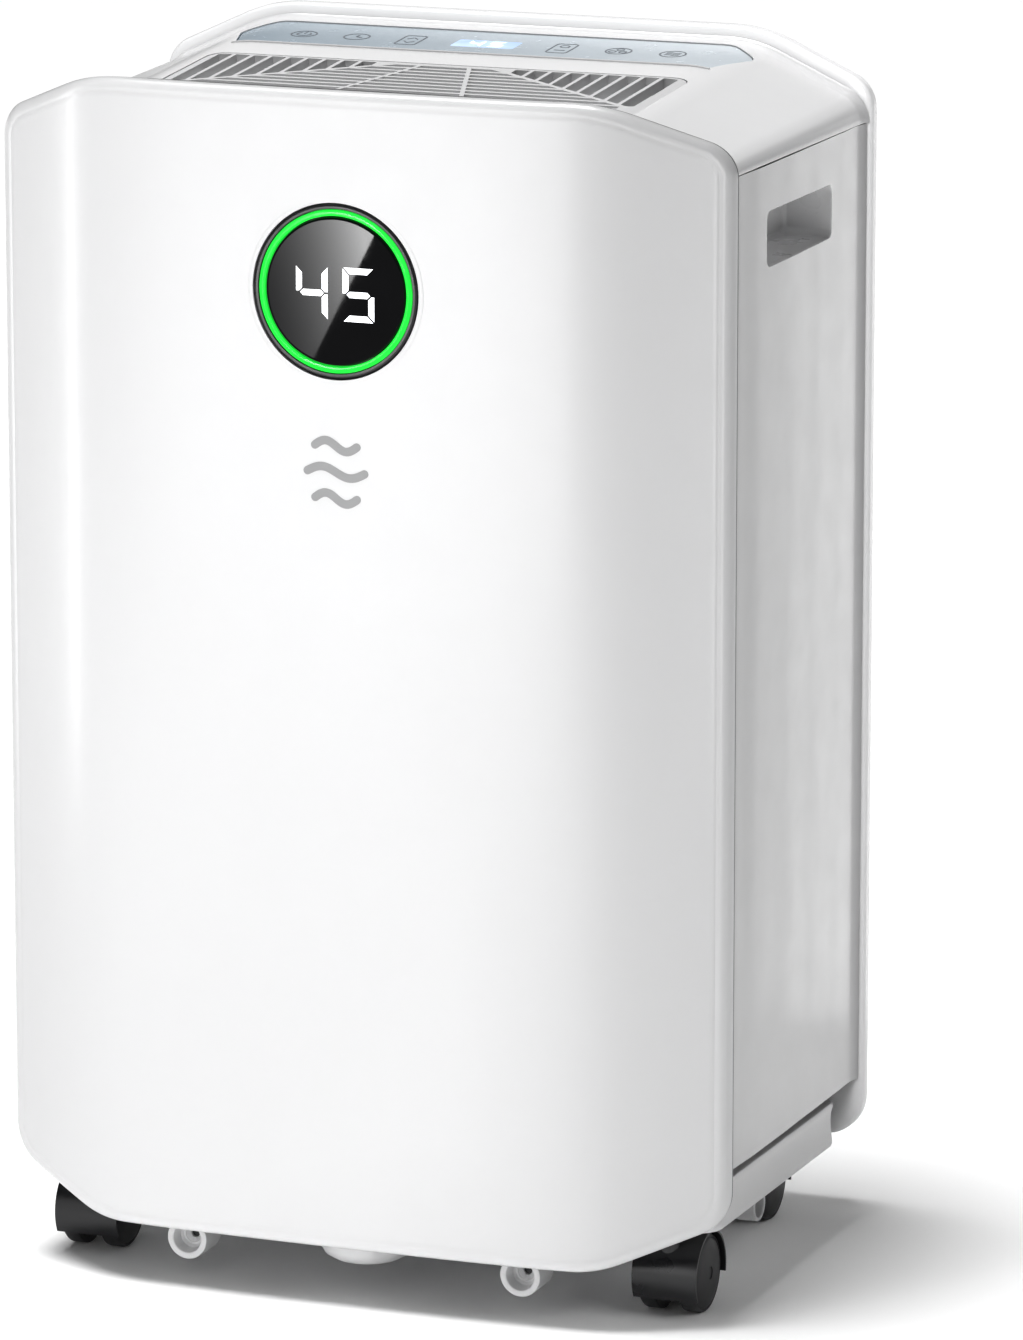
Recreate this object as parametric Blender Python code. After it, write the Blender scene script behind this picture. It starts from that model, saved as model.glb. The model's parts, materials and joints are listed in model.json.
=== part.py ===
"""Portable compressor dehumidifier on four twin-wheel casters.

Frame: +Z up, the front faces -Y, X runs across the front. The origin is the middle of the
bounding box on the floor. Every length below is in millimetres; MM turns them into metres.
"""
import bmesh
import bpy
import math
from mathutils import Vector

MM = 0.001

# Overall shape
HEIGHT = 618.5
DEPTH = 282.0
FRONT_Y = -DEPTH / 2
BACK_Y = DEPTH / 2
WALL = 3.0
GAP = 0.4

# Front panel: an octagon with rounded corners, bent back in two side wings
PANEL_HALF_W = 193.2
PANEL_TOP = 610.6
PANEL_BOTTOM = 29.8
PANEL_BOW = 1.5
PANEL_BEND_X = 134.5
PANEL_EDGE_Y = -109.0
PANEL_BEND_SOFTNESS = 20.0
PANEL_STATIONS = 20

# Display in the front panel
DISPLAY_Z = 512.8
DISPLAY_HOLE_R = 44.0
DISPLAY_HOUSING_R = 43.6
RING_OUTER_R = 40.4
RING_INNER_R = 36.9
LENS_R = 36.6

# Side panels, top cover and their seam
SIDE_X = 190.0
SIDE_FRONT_Y = -104.0
SIDE_BACK_Y = 93.0
SIDE_BOTTOM = 78.0
SEAM_Z = 573.5
TOP_REAR_Z = 611.0
TOP_SLOPE = 0.079
COVER_BEND_X = 131.0

# Finger recess in each side panel
RECESS_Y = (-51.0, 45.0)
RECESS_Z = (523.0, 549.0)
RECESS_DEPTH = 27.0
RECESS_CORNER = 5.0

# Top grille and control strip, given on the sloping top face
GRILLE_Y = (-100.0, 6.0)
GRILLE_HALF_W = 129.0
GRILLE_THICK = 5.0
STRIP_FRONT_Y = 31.0
STRIP_REAR_Y = 80.0
STRIP_HALF_W = 132.0

# Back shell
FLANGE_HALF_W = 192.8
FLANGE_Y = (93.4, 104.0)
FLANGE_BOTTOM = 46.0
REAR_HALF_W = 176.0
REAR_TOP = 603.0
REAR_BOTTOM = 52.0
FILTER_X = 132.0
FILTER_Z = (334.0, 566.0)
TANK_X = 148.0
TANK_Z = (76.0, 280.0)
TANK_FRONT_Y = 18.0
TANK_WALL = 2.5
BAY_TOP = 300.0
DRAIN = (120.0, 313.0)
INLET = (-161.6, 100.0)

# Base tray and what hangs under it
TRAY_HALF_W = 186.0
TRAY_Z = (47.5, 74.0)
TRAY_FLOOR = 53.0
TRAY_REAR_Y = 70.0
TRAY_TAIL_Y = 91.0
TRAY_TAIL_HALF_W = 152.0
LUG_X = 90.0
LUG_Z = 22.0
LUG_R = 10.8
SUMP_Y = -104.0
BOSS_Y = 17.0
BOSS_Z = 28.5

# Casters
WHEEL_R = 20.0
WHEEL_INNER_X = 6.2
WHEEL_OUTER_X = 16.6
WHEEL_SEGMENTS = 20
AXLE_R = 2.0
CASTER_HALF_W = 17.0
CASTER_TRAIL = 11.0
HOOD_INNER_R = 20.8
HOOD_OUTER_R = 22.0
STEM_R = 4.0
STEM_COLLAR_R = 5.3
CASTERS = {
    "front_left": (-157.0, -79.0),
    "front_right": (157.0, -79.0),
    "rear_left": (-132.0, 88.0),
    "rear_right": (132.0, 88.0),
}

# Refrigeration and fan
COMPRESSOR = (-70.0, -50.0)
COMPRESSOR_R = 58.0
COMPRESSOR_Z = (76.0, 250.0)
FOOT_CIRCLE_R = 66.0
ACCUMULATOR = (20.0, -70.0)
COIL_X = 135.0
COIL_Z = (332.0, 545.0)
FAN_Z = 440.0
FAN_Y = (-86.0, 6.0)
SCROLL_R = 110.0
SCROLL_TOP = 586.0
IMPELLER_R = 84.0
IMPELLER_BLADES = 12


# ---------------------------------------------------------------- building blocks

def clear_scene():
    for old in list(bpy.data.objects):
        bpy.data.objects.remove(old, do_unlink=True)


def material(name, colour, roughness, metallic=0.0):
    made = bpy.data.materials.new(name)
    made.use_nodes = True
    shader = made.node_tree.nodes["Principled BSDF"]
    shader.inputs["Base Color"].default_value = (*colour, 1.0)
    shader.inputs["Roughness"].default_value = roughness
    shader.inputs["Metallic"].default_value = metallic
    return made


def make_materials():
    return {
        "shell": material("shell_white", (0.86, 0.86, 0.87), 0.28),
        "trim": material("trim_white", (0.80, 0.80, 0.81), 0.40),
        "inner": material("inner_grey", (0.45, 0.46, 0.48), 0.55),
        "strip": material("control_blue_grey", (0.62, 0.68, 0.74), 0.12),
        "lens": material("lens_black", (0.01, 0.01, 0.012), 0.06),
        "ring": material("ring_green", (0.05, 0.75, 0.20), 0.35),
        "board": material("board_green", (0.03, 0.22, 0.08), 0.50),
        "black": material("caster_black", (0.02, 0.02, 0.022), 0.38),
        "tyre": material("wheel_black", (0.03, 0.03, 0.032), 0.50),
        "rubber": material("rubber_black", (0.02, 0.02, 0.02), 0.80),
        "steel": material("steel", (0.55, 0.56, 0.58), 0.32, 1.0),
        "enamel": material("compressor_black", (0.015, 0.015, 0.017), 0.30),
        "copper": material("copper", (0.72, 0.33, 0.19), 0.30, 1.0),
        "fins": material("fin_aluminium", (0.72, 0.73, 0.75), 0.40, 1.0),
        "tank": material("tank_smoke", (0.30, 0.33, 0.37), 0.20),
        "mesh": material("filter_grey", (0.10, 0.10, 0.11), 0.85),
    }


def add_object(name, vertices, faces, finish):
    """One closed mesh object from millimetre coordinates, its faces turned outwards."""
    mesh = bpy.data.meshes.new(name)
    mesh.from_pydata([Vector(v) * MM for v in vertices], [], faces)
    work = bmesh.new()
    work.from_mesh(mesh)
    bmesh.ops.remove_doubles(work, verts=work.verts, dist=0.002 * MM)
    bmesh.ops.recalc_face_normals(work, faces=work.faces)
    work.to_mesh(mesh)
    work.free()
    mesh.materials.append(finish)
    made = bpy.data.objects.new(name, mesh)
    bpy.context.scene.collection.objects.link(made)
    return made


def round_shading(obj, angle=35.0):
    obj.data.shade_smooth()
    obj.data.set_sharp_from_angle(angle=math.radians(angle))
    return obj


def along(axis, u, v, h):
    """Point with height h along the axis and (u, v) across it."""
    if axis == "X":
        return (h, u, v)
    if axis == "Y":
        return (u, h, v)
    return (u, v, h)


def prism(name, outline, low, high, finish, axis="Z"):
    count = len(outline)
    vertices = [along(axis, u, v, low) for u, v in outline]
    vertices += [along(axis, u, v, high) for u, v in outline]
    faces = [list(range(count)), list(range(2 * count - 1, count - 1, -1))]
    for i in range(count):
        j = (i + 1) % count
        faces.append([i, j, count + j, count + i])
    return add_object(name, vertices, faces, finish)


def block(name, low, high, finish):
    outline = [(low[0], low[1]), (high[0], low[1]), (high[0], high[1]), (low[0], high[1])]
    return prism(name, outline, low[2], high[2], finish)


def turned(name, profile, finish, axis="Z", centre=(0, 0, 0), segments=24, phase=0.5):
    """Solid of revolution from (radius, height) points; a closed loop, or a line from pole to pole."""
    has_poles = profile[0][0] == 0 and profile[-1][0] == 0
    rings = []
    vertices = []
    for radius, height in profile:
        if radius == 0:
            rings.append([len(vertices)])
            vertices.append((0, 0, height))
            continue
        rings.append(list(range(len(vertices), len(vertices) + segments)))
        for k in range(segments):
            angle = 2 * math.pi * (k + phase) / segments
            vertices.append((radius * math.cos(angle), radius * math.sin(angle), height))
    pairs = list(zip(rings, rings[1:]))
    if not has_poles:
        pairs.append((rings[-1], rings[0]))
    faces = []
    for lower, upper in pairs:
        for k in range(segments):
            n = (k + 1) % segments
            corners = [lower[k % len(lower)], lower[n % len(lower)],
                       upper[n % len(upper)], upper[k % len(upper)]]
            faces.append(list(dict.fromkeys(corners)))
    placed = []
    for u, v, h in vertices:
        x, y, z = along(axis, u, v, h)
        placed.append((x + centre[0], y + centre[1], z + centre[2]))
    return round_shading(add_object(name, placed, faces, finish))


def rod(name, radius, low, high, finish, axis="Z", centre=(0, 0), segments=24):
    middle = along(axis, centre[0], centre[1], 0)
    return turned(name, [(0, low), (radius, low), (radius, high), (0, high)],
                  finish, axis, middle, segments)


def tube(name, outer, inner, low, high, finish, axis="Z", centre=(0, 0), segments=24):
    middle = along(axis, centre[0], centre[1], 0)
    return turned(name, [(inner, low), (outer, low), (outer, high), (inner, high)],
                  finish, axis, middle, segments)


def combine(target, other, operation):
    """Applies one Boolean to the target and removes the other object."""
    step = target.modifiers.new(operation.lower(), "BOOLEAN")
    step.operation = operation
    step.object = other
    result = bpy.data.meshes.new_from_object(
        target.evaluated_get(bpy.context.evaluated_depsgraph_get()))
    target.modifiers.remove(step)
    work = bmesh.new()
    work.from_mesh(result)
    bmesh.ops.remove_doubles(work, verts=work.verts, dist=0.004 * MM)
    bmesh.ops.dissolve_degenerate(work, edges=work.edges, dist=0.004 * MM)
    work.to_mesh(result)
    work.free()
    target.data = result
    bpy.data.objects.remove(other, do_unlink=True)
    return target


def cut(target, other):
    return combine(target, other, "DIFFERENCE")


def weld(target, other):
    return combine(target, other, "UNION")


def rounded(points, radii, steps=6):
    """Closed outline whose corners are arcs of the given radii (0 keeps a corner sharp)."""
    outline = []
    count = len(points)
    for i, radius in enumerate(radii):
        corner = Vector(points[i])
        if radius == 0:
            outline.append(tuple(corner))
            continue
        to_last = (Vector(points[i - 1]) - corner).normalized()
        to_next = (Vector(points[(i + 1) % count]) - corner).normalized()
        half = to_last.angle(to_next) / 2
        start = corner + to_last * radius / math.tan(half)
        centre = corner + (to_last + to_next).normalized() * radius / math.sin(half)
        first = start - centre
        sweep = (math.pi - 2 * half) * (1 if to_last.cross(to_next) < 0 else -1)
        for k in range(steps + 1):
            a = sweep * k / steps
            outline.append((centre.x + first.x * math.cos(a) - first.y * math.sin(a),
                            centre.y + first.x * math.sin(a) + first.y * math.cos(a)))
    return outline


def rounded_box(low, high, radius, steps=3):
    points = [(low[0], low[1]), (high[0], low[1]), (high[0], high[1]), (low[0], high[1])]
    return rounded(points, [radius] * 4, steps)


def pipe(name, route, radius, finish, steps=2):
    """Bent tube along a smooth curve through the route's points."""
    points = []
    for i in range(len(route) - 1):
        before = Vector(route[max(i - 1, 0)])
        a = Vector(route[i])
        b = Vector(route[i + 1])
        after = Vector(route[min(i + 2, len(route) - 1)])
        for k in range(steps):
            t = k / steps
            points.append(0.5 * (2 * a + (b - before) * t
                                 + (2 * before - 5 * a + 4 * b - after) * t ** 2
                                 + (3 * a - before - 3 * b + after) * t ** 3))
    points.append(Vector(route[-1]))
    curve = bpy.data.curves.new(name, "CURVE")
    curve.dimensions = "3D"
    curve.bevel_depth = radius * MM
    curve.bevel_resolution = 2
    curve.use_fill_caps = True
    spline = curve.splines.new("POLY")
    spline.points.add(len(points) - 1)
    for spot, point in zip(spline.points, points):
        spot.co = (*(point * MM), 1.0)
    curve.materials.append(finish)
    made = bpy.data.objects.new(name, curve)
    bpy.context.scene.collection.objects.link(made)
    return made


# ---------------------------------------------------------------- shared curves

def panel_y(x):
    """Front face of the front panel: nearly flat in the middle, swept back in the wings."""
    bow = PANEL_BOW * (x / 130.0) ** 2
    slope = (PANEL_EDGE_Y - FRONT_Y - PANEL_BOW) / (PANEL_HALF_W - PANEL_BEND_X)
    past = abs(x) - PANEL_BEND_X
    soft = PANEL_BEND_SOFTNESS
    start = math.hypot(PANEL_BEND_X, soft) - PANEL_BEND_X
    return FRONT_Y + bow + slope * 0.5 * (past + math.hypot(past, soft) - start)


def panel_outline():
    w = PANEL_HALF_W
    points = [(-w, PANEL_BOTTOM + 24.5), (-132.7, PANEL_BOTTOM), (132.7, PANEL_BOTTOM),
              (w, PANEL_BOTTOM + 24.5), (w, PANEL_TOP - 24), (134, PANEL_TOP),
              (-134, PANEL_TOP), (-w, PANEL_TOP - 24)]
    return rounded(points, [22, 65, 65, 22, 20, 85, 85, 20], 8)


def flange_outline(inset=0.0):
    w = FLANGE_HALF_W - inset
    top = HEIGHT - inset
    low = FLANGE_BOTTOM + inset
    points = [(-w, low), (w, low), (w, top - 27), (134, top), (-134, top), (-w, top - 27)]
    return rounded(points, [22 - inset, 22 - inset, 19 - inset, 77, 77, 19 - inset], 4)


def top_plane(y):
    """Height of the flat top face, which rises a little towards the back."""
    return TOP_REAR_Z + (y - SIDE_BACK_Y) * TOP_SLOPE


def cover_section(half_w, top, base):
    """Upper outline of the top cover from the left seam to the right seam."""
    drop = 27.0
    points = [(half_w, base - 40), (half_w, top - drop), (COVER_BEND_X, top),
              (-COVER_BEND_X, top), (-half_w, top - drop), (-half_w, base - 40)]
    outline = rounded(points, [0, 17, 70, 70, 17, 0], 5)
    upper = [p for p in outline if p[1] > base + 0.5]
    return [(half_w, base)] + upper + [(-half_w, base)]


# ---------------------------------------------------------------- casing

def make_front_panel(mats):
    outline = panel_outline()
    middle = (PANEL_TOP + PANEL_BOTTOM) / 2
    upper = sorted(p for p in outline if p[1] > middle)
    lower = sorted(p for p in outline if p[1] < middle)

    def height(edge, x):
        for (x0, z0), (x1, z1) in zip(edge, edge[1:]):
            if x0 <= x <= x1 and x1 > x0:
                return z0 + (z1 - z0) * (x - x0) / (x1 - x0)
        return edge[0][1] if x < 0 else edge[-1][1]

    stations = []
    for k in range(-PANEL_STATIONS, PANEL_STATIONS + 1):
        share = k / PANEL_STATIONS
        stations.append(PANEL_HALF_W * math.sin(share * math.pi / 2) * 0.999)
    vertices = []
    for x in stations:
        low = height(lower, x)
        high = height(upper, x)
        y = panel_y(x)
        vertices += [(x, y, low), (x, y, high), (x, y + WALL, high), (x, y + WALL, low)]
    faces = [[0, 1, 2, 3]]
    for i in range(len(stations) - 1):
        a = 4 * i
        for k in range(4):
            n = (k + 1) % 4
            faces.append([a + k, a + n, a + 4 + n, a + 4 + k])
    last = 4 * (len(stations) - 1)
    faces.append([last, last + 1, last + 2, last + 3])
    panel = round_shading(add_object("front_panel", vertices, faces, mats["shell"]))
    hole = rod("hole", DISPLAY_HOLE_R, FRONT_Y - 10, FRONT_Y + 15, mats["shell"], "Y",
               (0, DISPLAY_Z), 28)
    return cut(panel, hole)


def make_display(mats):
    face = FRONT_Y + 0.1
    centre = (0, 0, DISPLAY_Z)
    floor = face + 13
    turned("display_housing",
           [(RING_OUTER_R + GAP, face), (DISPLAY_HOUSING_R, face),
            (DISPLAY_HOUSING_R, floor), (6, floor), (6, floor - 2), (RING_OUTER_R + GAP, floor - 2)],
           mats["lens"], "Y", centre, 28)
    tube("display_ring", RING_OUTER_R, RING_INNER_R, face + 0.2, face + 4, mats["ring"], "Y",
         (0, DISPLAY_Z), 28)
    rod("display_lens", LENS_R, face, face + 3, mats["lens"], "Y", (0, DISPLAY_Z), 28)
    rod("display_board", 34, face + 6, face + 7.6, mats["board"], "Y", (0, DISPLAY_Z), 14)


def make_top_cover(mats):
    rear = SIDE_BACK_Y
    outer = cover_section(SIDE_X, TOP_REAR_Z, SEAM_Z)
    inner = cover_section(SIDE_X - WALL, TOP_REAR_Z - WALL, SEAM_Z)
    loops = []
    for section in (outer, inner):
        for at_front in (True, False):
            loop = []
            for x, z in section:
                share = (z - SEAM_Z) / (section[len(section) // 2][1] - SEAM_Z)
                y = min(panel_y(x) + WALL + GAP, -99.0) if at_front else rear
                crest = top_plane(y) - (WALL if section is inner else 0)
                loop.append((x, y, SEAM_Z + share * (crest - SEAM_Z)))
            loops.append(loop)
    count = min(len(loop) for loop in loops)
    vertices = [p for loop in loops for p in loop]
    sizes = [len(loop) for loop in loops]
    front_out, rear_out, front_in, rear_in = 0, sizes[0], 2 * sizes[0], 2 * sizes[0] + sizes[2]
    faces = []
    for i in range(count - 1):
        faces.append([front_out + i, front_out + i + 1, rear_out + i + 1, rear_out + i])
        faces.append([front_in + i, front_in + i + 1, rear_in + i + 1, rear_in + i])
        faces.append([front_out + i, front_out + i + 1, front_in + i + 1, front_in + i])
        faces.append([rear_out + i, rear_out + i + 1, rear_in + i + 1, rear_in + i])
    for i in (0, count - 1):
        faces.append([front_out + i, rear_out + i, rear_in + i, front_in + i])
    cover = round_shading(add_object("top_cover", vertices, faces, mats["shell"]))
    grille_hole = prism("grille_hole", grille_outline(0), SEAM_Z, HEIGHT + 20, mats["shell"])
    cut(cover, grille_hole)
    strip_hole = prism("strip_hole", strip_outline(0), SEAM_Z, HEIGHT + 20, mats["shell"])
    return cut(cover, strip_hole)


def grille_outline(inset):
    w = GRILLE_HALF_W - inset
    points = [(-w, GRILLE_Y[0] + inset), (w, GRILLE_Y[0] + inset),
              (w, GRILLE_Y[1] - inset), (-w, GRILLE_Y[1] - inset)]
    return rounded(points, [8 - inset, 8 - inset, 4 - inset, 4 - inset], 3)


def strip_outline(inset):
    front = STRIP_FRONT_Y + inset
    rear = STRIP_REAR_Y - inset
    wide = STRIP_HALF_W - inset
    points = [(-124 + inset, front), (124 - inset, front), (wide, 58), (wide - 14, rear),
              (-wide + 14, rear), (-wide, 58)]
    return rounded(points, [3, 3, 14, 12, 12, 14], 4)


def sloped_slab(name, outline, drop, thick, finish):
    """Plate parallel to the top face, its upper side a given drop below it."""
    count = len(outline)
    vertices = [(x, y, top_plane(y) - drop) for x, y in outline]
    vertices += [(x, y, top_plane(y) - drop - thick) for x, y in outline]
    faces = [list(range(count)), list(range(2 * count - 1, count - 1, -1))]
    for i in range(count):
        j = (i + 1) % count
        faces.append([i, j, count + j, count + i])
    return add_object(name, vertices, faces, finish)


def make_top_grille(mats):
    """Fan-shaped grille: cross louvres in the middle trapezium, lengthwise bars beside it."""
    grille = sloped_slab("top_grille", grille_outline(GAP), 0.4, GRILLE_THICK, mats["trim"])
    front = GRILLE_Y[0] + 7
    rear = GRILLE_Y[1] - 5

    def edge(y, front_x, rear_x):
        return front_x + (rear_x - front_x) * (y - front) / (rear - front)

    slots = []
    louvres = 6
    pitch = (rear - front) / louvres
    bands = ((-119, -26, -39, -19), (-33, -15, 33, 15), (39, 19, 119, 26))
    for row in range(louvres):
        y0 = front + row * pitch
        y1 = y0 + pitch - 5
        for a_front, a_rear, b_front, b_rear in bands:
            slots.append([(edge(y0, a_front, a_rear), y0), (edge(y0, b_front, b_rear), y0),
                          (edge(y1, b_front, b_rear), y1), (edge(y1, a_front, a_rear), y1)])
    bars = 7
    width = (GRILLE_HALF_W - 8 - 36) / bars
    for bar in range(bars):
        x0 = 36 + bar * width
        x1 = x0 + width - 5
        share = (x1 + 4 - 26) / (119 - 26)
        y0 = max(rear - (rear - front) * share + 7, front)
        if rear - y0 < 6:
            continue
        slots.append([(x0, y0), (x1, y0), (x1, rear), (x0, rear)])
        slots.append([(-x1, y0), (-x0, y0), (-x0, rear), (-x1, rear)])
    for slot in slots:
        cut(grille, prism("slot", slot, SEAM_Z, HEIGHT, mats["trim"]))
    return grille


def make_controls(mats):
    sloped_slab("control_panel", strip_outline(GAP), 0.8, 2.4, mats["strip"])
    board = [(-112, 36), (112, 36), (112, 74), (-112, 74)]
    sloped_slab("control_board", board, 7, 1.6, mats["board"])


def side_profile(side):
    """Plan outline of a side panel: gently crowned, flaring at the back to meet the flange."""
    crown = [(SIDE_FRONT_Y, -1.8), (-70, -0.5), (-35, 0.0), (5, 0.0), (45, -0.5), (78, -1.3),
             (SIDE_BACK_Y, 0.6)]
    outer = [(side * (SIDE_X + dx), y) for y, dx in crown]
    inner = [(side * (SIDE_X + dx - WALL), y) for y, dx in reversed(crown)]
    return outer + inner


def make_side_panel(mats, name, side):
    panel = prism(name, side_profile(side), SIDE_BOTTOM, SEAM_Z - GAP, mats["shell"])
    y0, y1 = RECESS_Y
    z0, z1 = RECESS_Z
    deep = SIDE_X - RECESS_DEPTH
    pocket = [(y0 - 2.5, z0 - 2.5), (y1 + 2.5, z1 + 2.5)]
    cup = prism("cup", rounded_box(pocket[0], pocket[1], RECESS_CORNER + 2),
                *sorted((side * (deep - 2.5), side * (SIDE_X - 1.8))), mats["shell"], "X")
    weld(panel, cup)
    hollow = prism("hollow", rounded_box((y0, z0), (y1, z1), RECESS_CORNER),
                   *sorted((side * deep, side * (SIDE_X + 10))), mats["shell"], "X")
    cut(panel, hollow)
    return round_shading(panel, 25)


def make_back_shell(mats):
    """Rim flange with a shallower rear body, open at the front, for the filter and for the tank."""
    shell = prism("back_shell", flange_outline(), FLANGE_Y[0] + 0.2, FLANGE_Y[1], mats["shell"], "Y")
    body = [(-REAR_HALF_W, REAR_BOTTOM), (REAR_HALF_W, REAR_BOTTOM),
            (REAR_HALF_W, REAR_TOP - 22), (128, REAR_TOP), (-128, REAR_TOP),
            (-REAR_HALF_W, REAR_TOP - 22)]
    rear = prism("rear", rounded(body, [20, 20, 18, 60, 60, 18], 3), FLANGE_Y[1] - 2, BACK_Y,
                 mats["shell"], "Y")
    weld(shell, rear)
    w = REAR_HALF_W - WALL
    top = REAR_TOP - WALL
    low = REAR_BOTTOM + WALL
    inside = [(-w, low), (w, low), (w, top - 22), (127, top), (-127, top), (-w, top - 22)]
    hollow = prism("hollow", rounded(inside, [17, 17, 15, 57, 57, 15], 3), FLANGE_Y[0] - 10,
                   BACK_Y - WALL, mats["shell"], "Y")
    cut(shell, hollow)
    openings = [
        rounded_box((-FILTER_X, FILTER_Z[0]), (FILTER_X, FILTER_Z[1]), 8, 2),
        rounded_box((-TANK_X - 2, TANK_Z[0] - 3), (TANK_X + 2, TANK_Z[1] + 12), 4, 2),
    ]
    for outline in openings:
        cut(shell, prism("opening", outline, BACK_Y - 20, BACK_Y + 10, mats["shell"], "Y"))
    cut(shell, rod("drain_hole", 10.5, BACK_Y - 20, BACK_Y + 10, mats["shell"], "Y", DRAIN, 16))
    cut(shell, rod("cord_hole", 8.4, BACK_Y - 20, BACK_Y + 10, mats["shell"], "Y", INLET, 12))
    return round_shading(shell, 25)


def make_rear_fittings(mats):
    """Filter frame with its louvres, filter mesh, drain plug and mains cord gland."""
    x = FILTER_X - GAP
    z0, z1 = FILTER_Z[0] + GAP, FILTER_Z[1] - GAP
    frame = prism("filter_frame", rounded_box((-x, z0), (x, z1), 8, 2), BACK_Y - 7, BACK_Y - 0.6,
                  mats["trim"], "Y")
    rows = 7
    pitch = (z1 - z0 - 12) / rows
    for row in range(rows):
        low = z0 + 9 + row * pitch
        for side in (-1, 1):
            span = sorted((side * 4, side * (x - 10)))
            slot = [(span[0], low), (span[1], low), (span[1], low + pitch - 6),
                    (span[0], low + pitch - 6)]
            cut(frame, prism("slot", slot, BACK_Y - 20, BACK_Y + 10, mats["trim"], "Y"))
    block("filter_mesh", (-x + 3, BACK_Y - 10.3, z0 + 3), (x - 3, BACK_Y - 7.4, z1 - 3), mats["mesh"])
    turned("drain_cap", [(0, BACK_Y), (10, BACK_Y), (10, BACK_Y - 3.2), (3.6, BACK_Y - 3.2),
                         (3.6, BACK_Y - 14), (0, BACK_Y - 14)],
           mats["rubber"], "Y", (DRAIN[0], 0, DRAIN[1]), 14)
    turned("power_inlet", [(3.2, BACK_Y), (8, BACK_Y), (8, BACK_Y - 3.4), (10.5, BACK_Y - 3.4),
                           (10.5, BACK_Y - 7), (3.2, BACK_Y - 12)],
           mats["black"], "Y", (INLET[0], 0, INLET[1]), 12)


# ---------------------------------------------------------------- base

def tray_outline(inset):
    w = TRAY_HALF_W - inset
    tail = TRAY_TAIL_HALF_W - inset
    rear = TRAY_REAR_Y - inset
    points = [(-w, -102 + inset), (-150, -121 + inset), (-120, -129 + inset),
              (120, -129 + inset), (150, -121 + inset), (w, -102 + inset),
              (w, rear), (tail, rear), (tail, TRAY_TAIL_Y - inset), (-tail, TRAY_TAIL_Y - inset),
              (-tail, rear), (-w, rear)]
    return points


def stem_spot(name):
    x, y = CASTERS[name]
    return (x, y - CASTER_TRAIL)


def make_base_tray(mats):
    white = mats["trim"]
    tray = prism("base_tray", tray_outline(0), TRAY_Z[0], TRAY_Z[1], white)
    cut(tray, prism("hollow", tray_outline(WALL), TRAY_FLOOR, TRAY_Z[1] + 10, white))
    sump = turned("sump", [(0, 17), (17, 17), (23, 20), (26, 30), (27, 49), (0, 49)], white,
                  "Z", (0, SUMP_Y, 0), 18)
    weld(tray, sump)
    cut(tray, turned("basin", [(0, 20), (15, 20), (20, 22), (23, 31), (23, 60), (0, 60)], white,
                     "Z", (0, SUMP_Y, 0), 18))
    for side in (-1, 1):
        x = side * LUG_X
        lug = rod("lug", LUG_R, -125, -106, white, "Y", (x, LUG_Z), 14)
        weld(lug, block("neck", (x - 8, -121, LUG_Z), (x + 8, -107, TRAY_Z[0] + 2), white))
        cut(lug, rod("screw_hole", 2.2, -140, -112, white, "Y", (x, LUG_Z), 8))
        weld(tray, lug)
        inner, outer = sorted((side * 154, side * 165))
        boss = rod("boss", 7.5, inner, outer, white, "X", (BOSS_Y, BOSS_Z), 12)
        weld(boss, block("neck", (inner + 1, BOSS_Y - 4, BOSS_Z), (outer - 1, BOSS_Y + 4, TRAY_Z[0] + 2),
                         white))
        cut(boss, rod("bore", 4.5, *((157, 170) if side > 0 else (-170, -157)), white, "X",
                      (BOSS_Y, BOSS_Z), 8))
        weld(tray, boss)
    for name in CASTERS:
        spot = stem_spot(name)
        weld(tray, rod("socket", 8, TRAY_Z[0] + 2, 72, white, "Z", spot, 10))
        cut(tray, rod("bore", STEM_R + 0.5, TRAY_Z[0] - 10, 67, white, "Z", spot, 10))
    return tray


# ---------------------------------------------------------------- casters

def hood_arch(radius, first, last, steps):
    points = []
    for k in range(steps + 1):
        angle = math.radians(first + (last - first) * k / steps)
        points.append((-radius * math.cos(angle), WHEEL_R + radius * math.sin(angle)))
    return points


def hood_mesh(mats):
    """Fender over both wheels with the web between them, modelled about the axle's middle."""
    black = mats["black"]
    arch = hood_arch(HOOD_OUTER_R, -28, 192, 11) + hood_arch(HOOD_INNER_R, 192, -28, 11)
    hood = prism("hood", arch, -CASTER_HALF_W, CASTER_HALF_W, black, "X")
    web = hood_arch(HOOD_OUTER_R - 0.6, -18, 182, 10) + [(8, 12), (0, 10), (-8, 8)]
    weld(hood, prism("web", web, -WHEEL_INNER_X + 0.5, WHEEL_INNER_X - 0.5, black, "X"))
    cut(hood, rod("bore", AXLE_R + 0.05, -30, 30, black, "X", (0, WHEEL_R), 8))
    weld(hood, rod("boss", 5.6, 31, 39.1, black, "Z", (0, -CASTER_TRAIL), 10))
    cut(hood, rod("collar_seat", STEM_COLLAR_R + 0.6, 39.3, 60, black, "Z", (0, -CASTER_TRAIL), 10))
    cut(hood, rod("stem_bore", STEM_R, 29, 60, black, "Z", (0, -CASTER_TRAIL), 10))
    mesh = round_shading(hood, 30).data
    bpy.data.objects.remove(hood, do_unlink=True)
    return mesh


def wheel_mesh(mats):
    """One wheel with a blind bore from its inner side; a flat facet meets the floor."""
    rim = WHEEL_R / math.cos(math.pi / WHEEL_SEGMENTS)
    bore = AXLE_R + 0.15
    profile = [(0, 14), (bore, 14), (bore, WHEEL_INNER_X), (rim, WHEEL_INNER_X),
               (rim, 13.4), (17.6, 15.9), (0, WHEEL_OUTER_X)]
    wheel = turned("wheel", profile, mats["tyre"], "X", (0, 0, WHEEL_R), WHEEL_SEGMENTS)
    mesh = wheel.data
    bpy.data.objects.remove(wheel, do_unlink=True)
    return mesh


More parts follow.
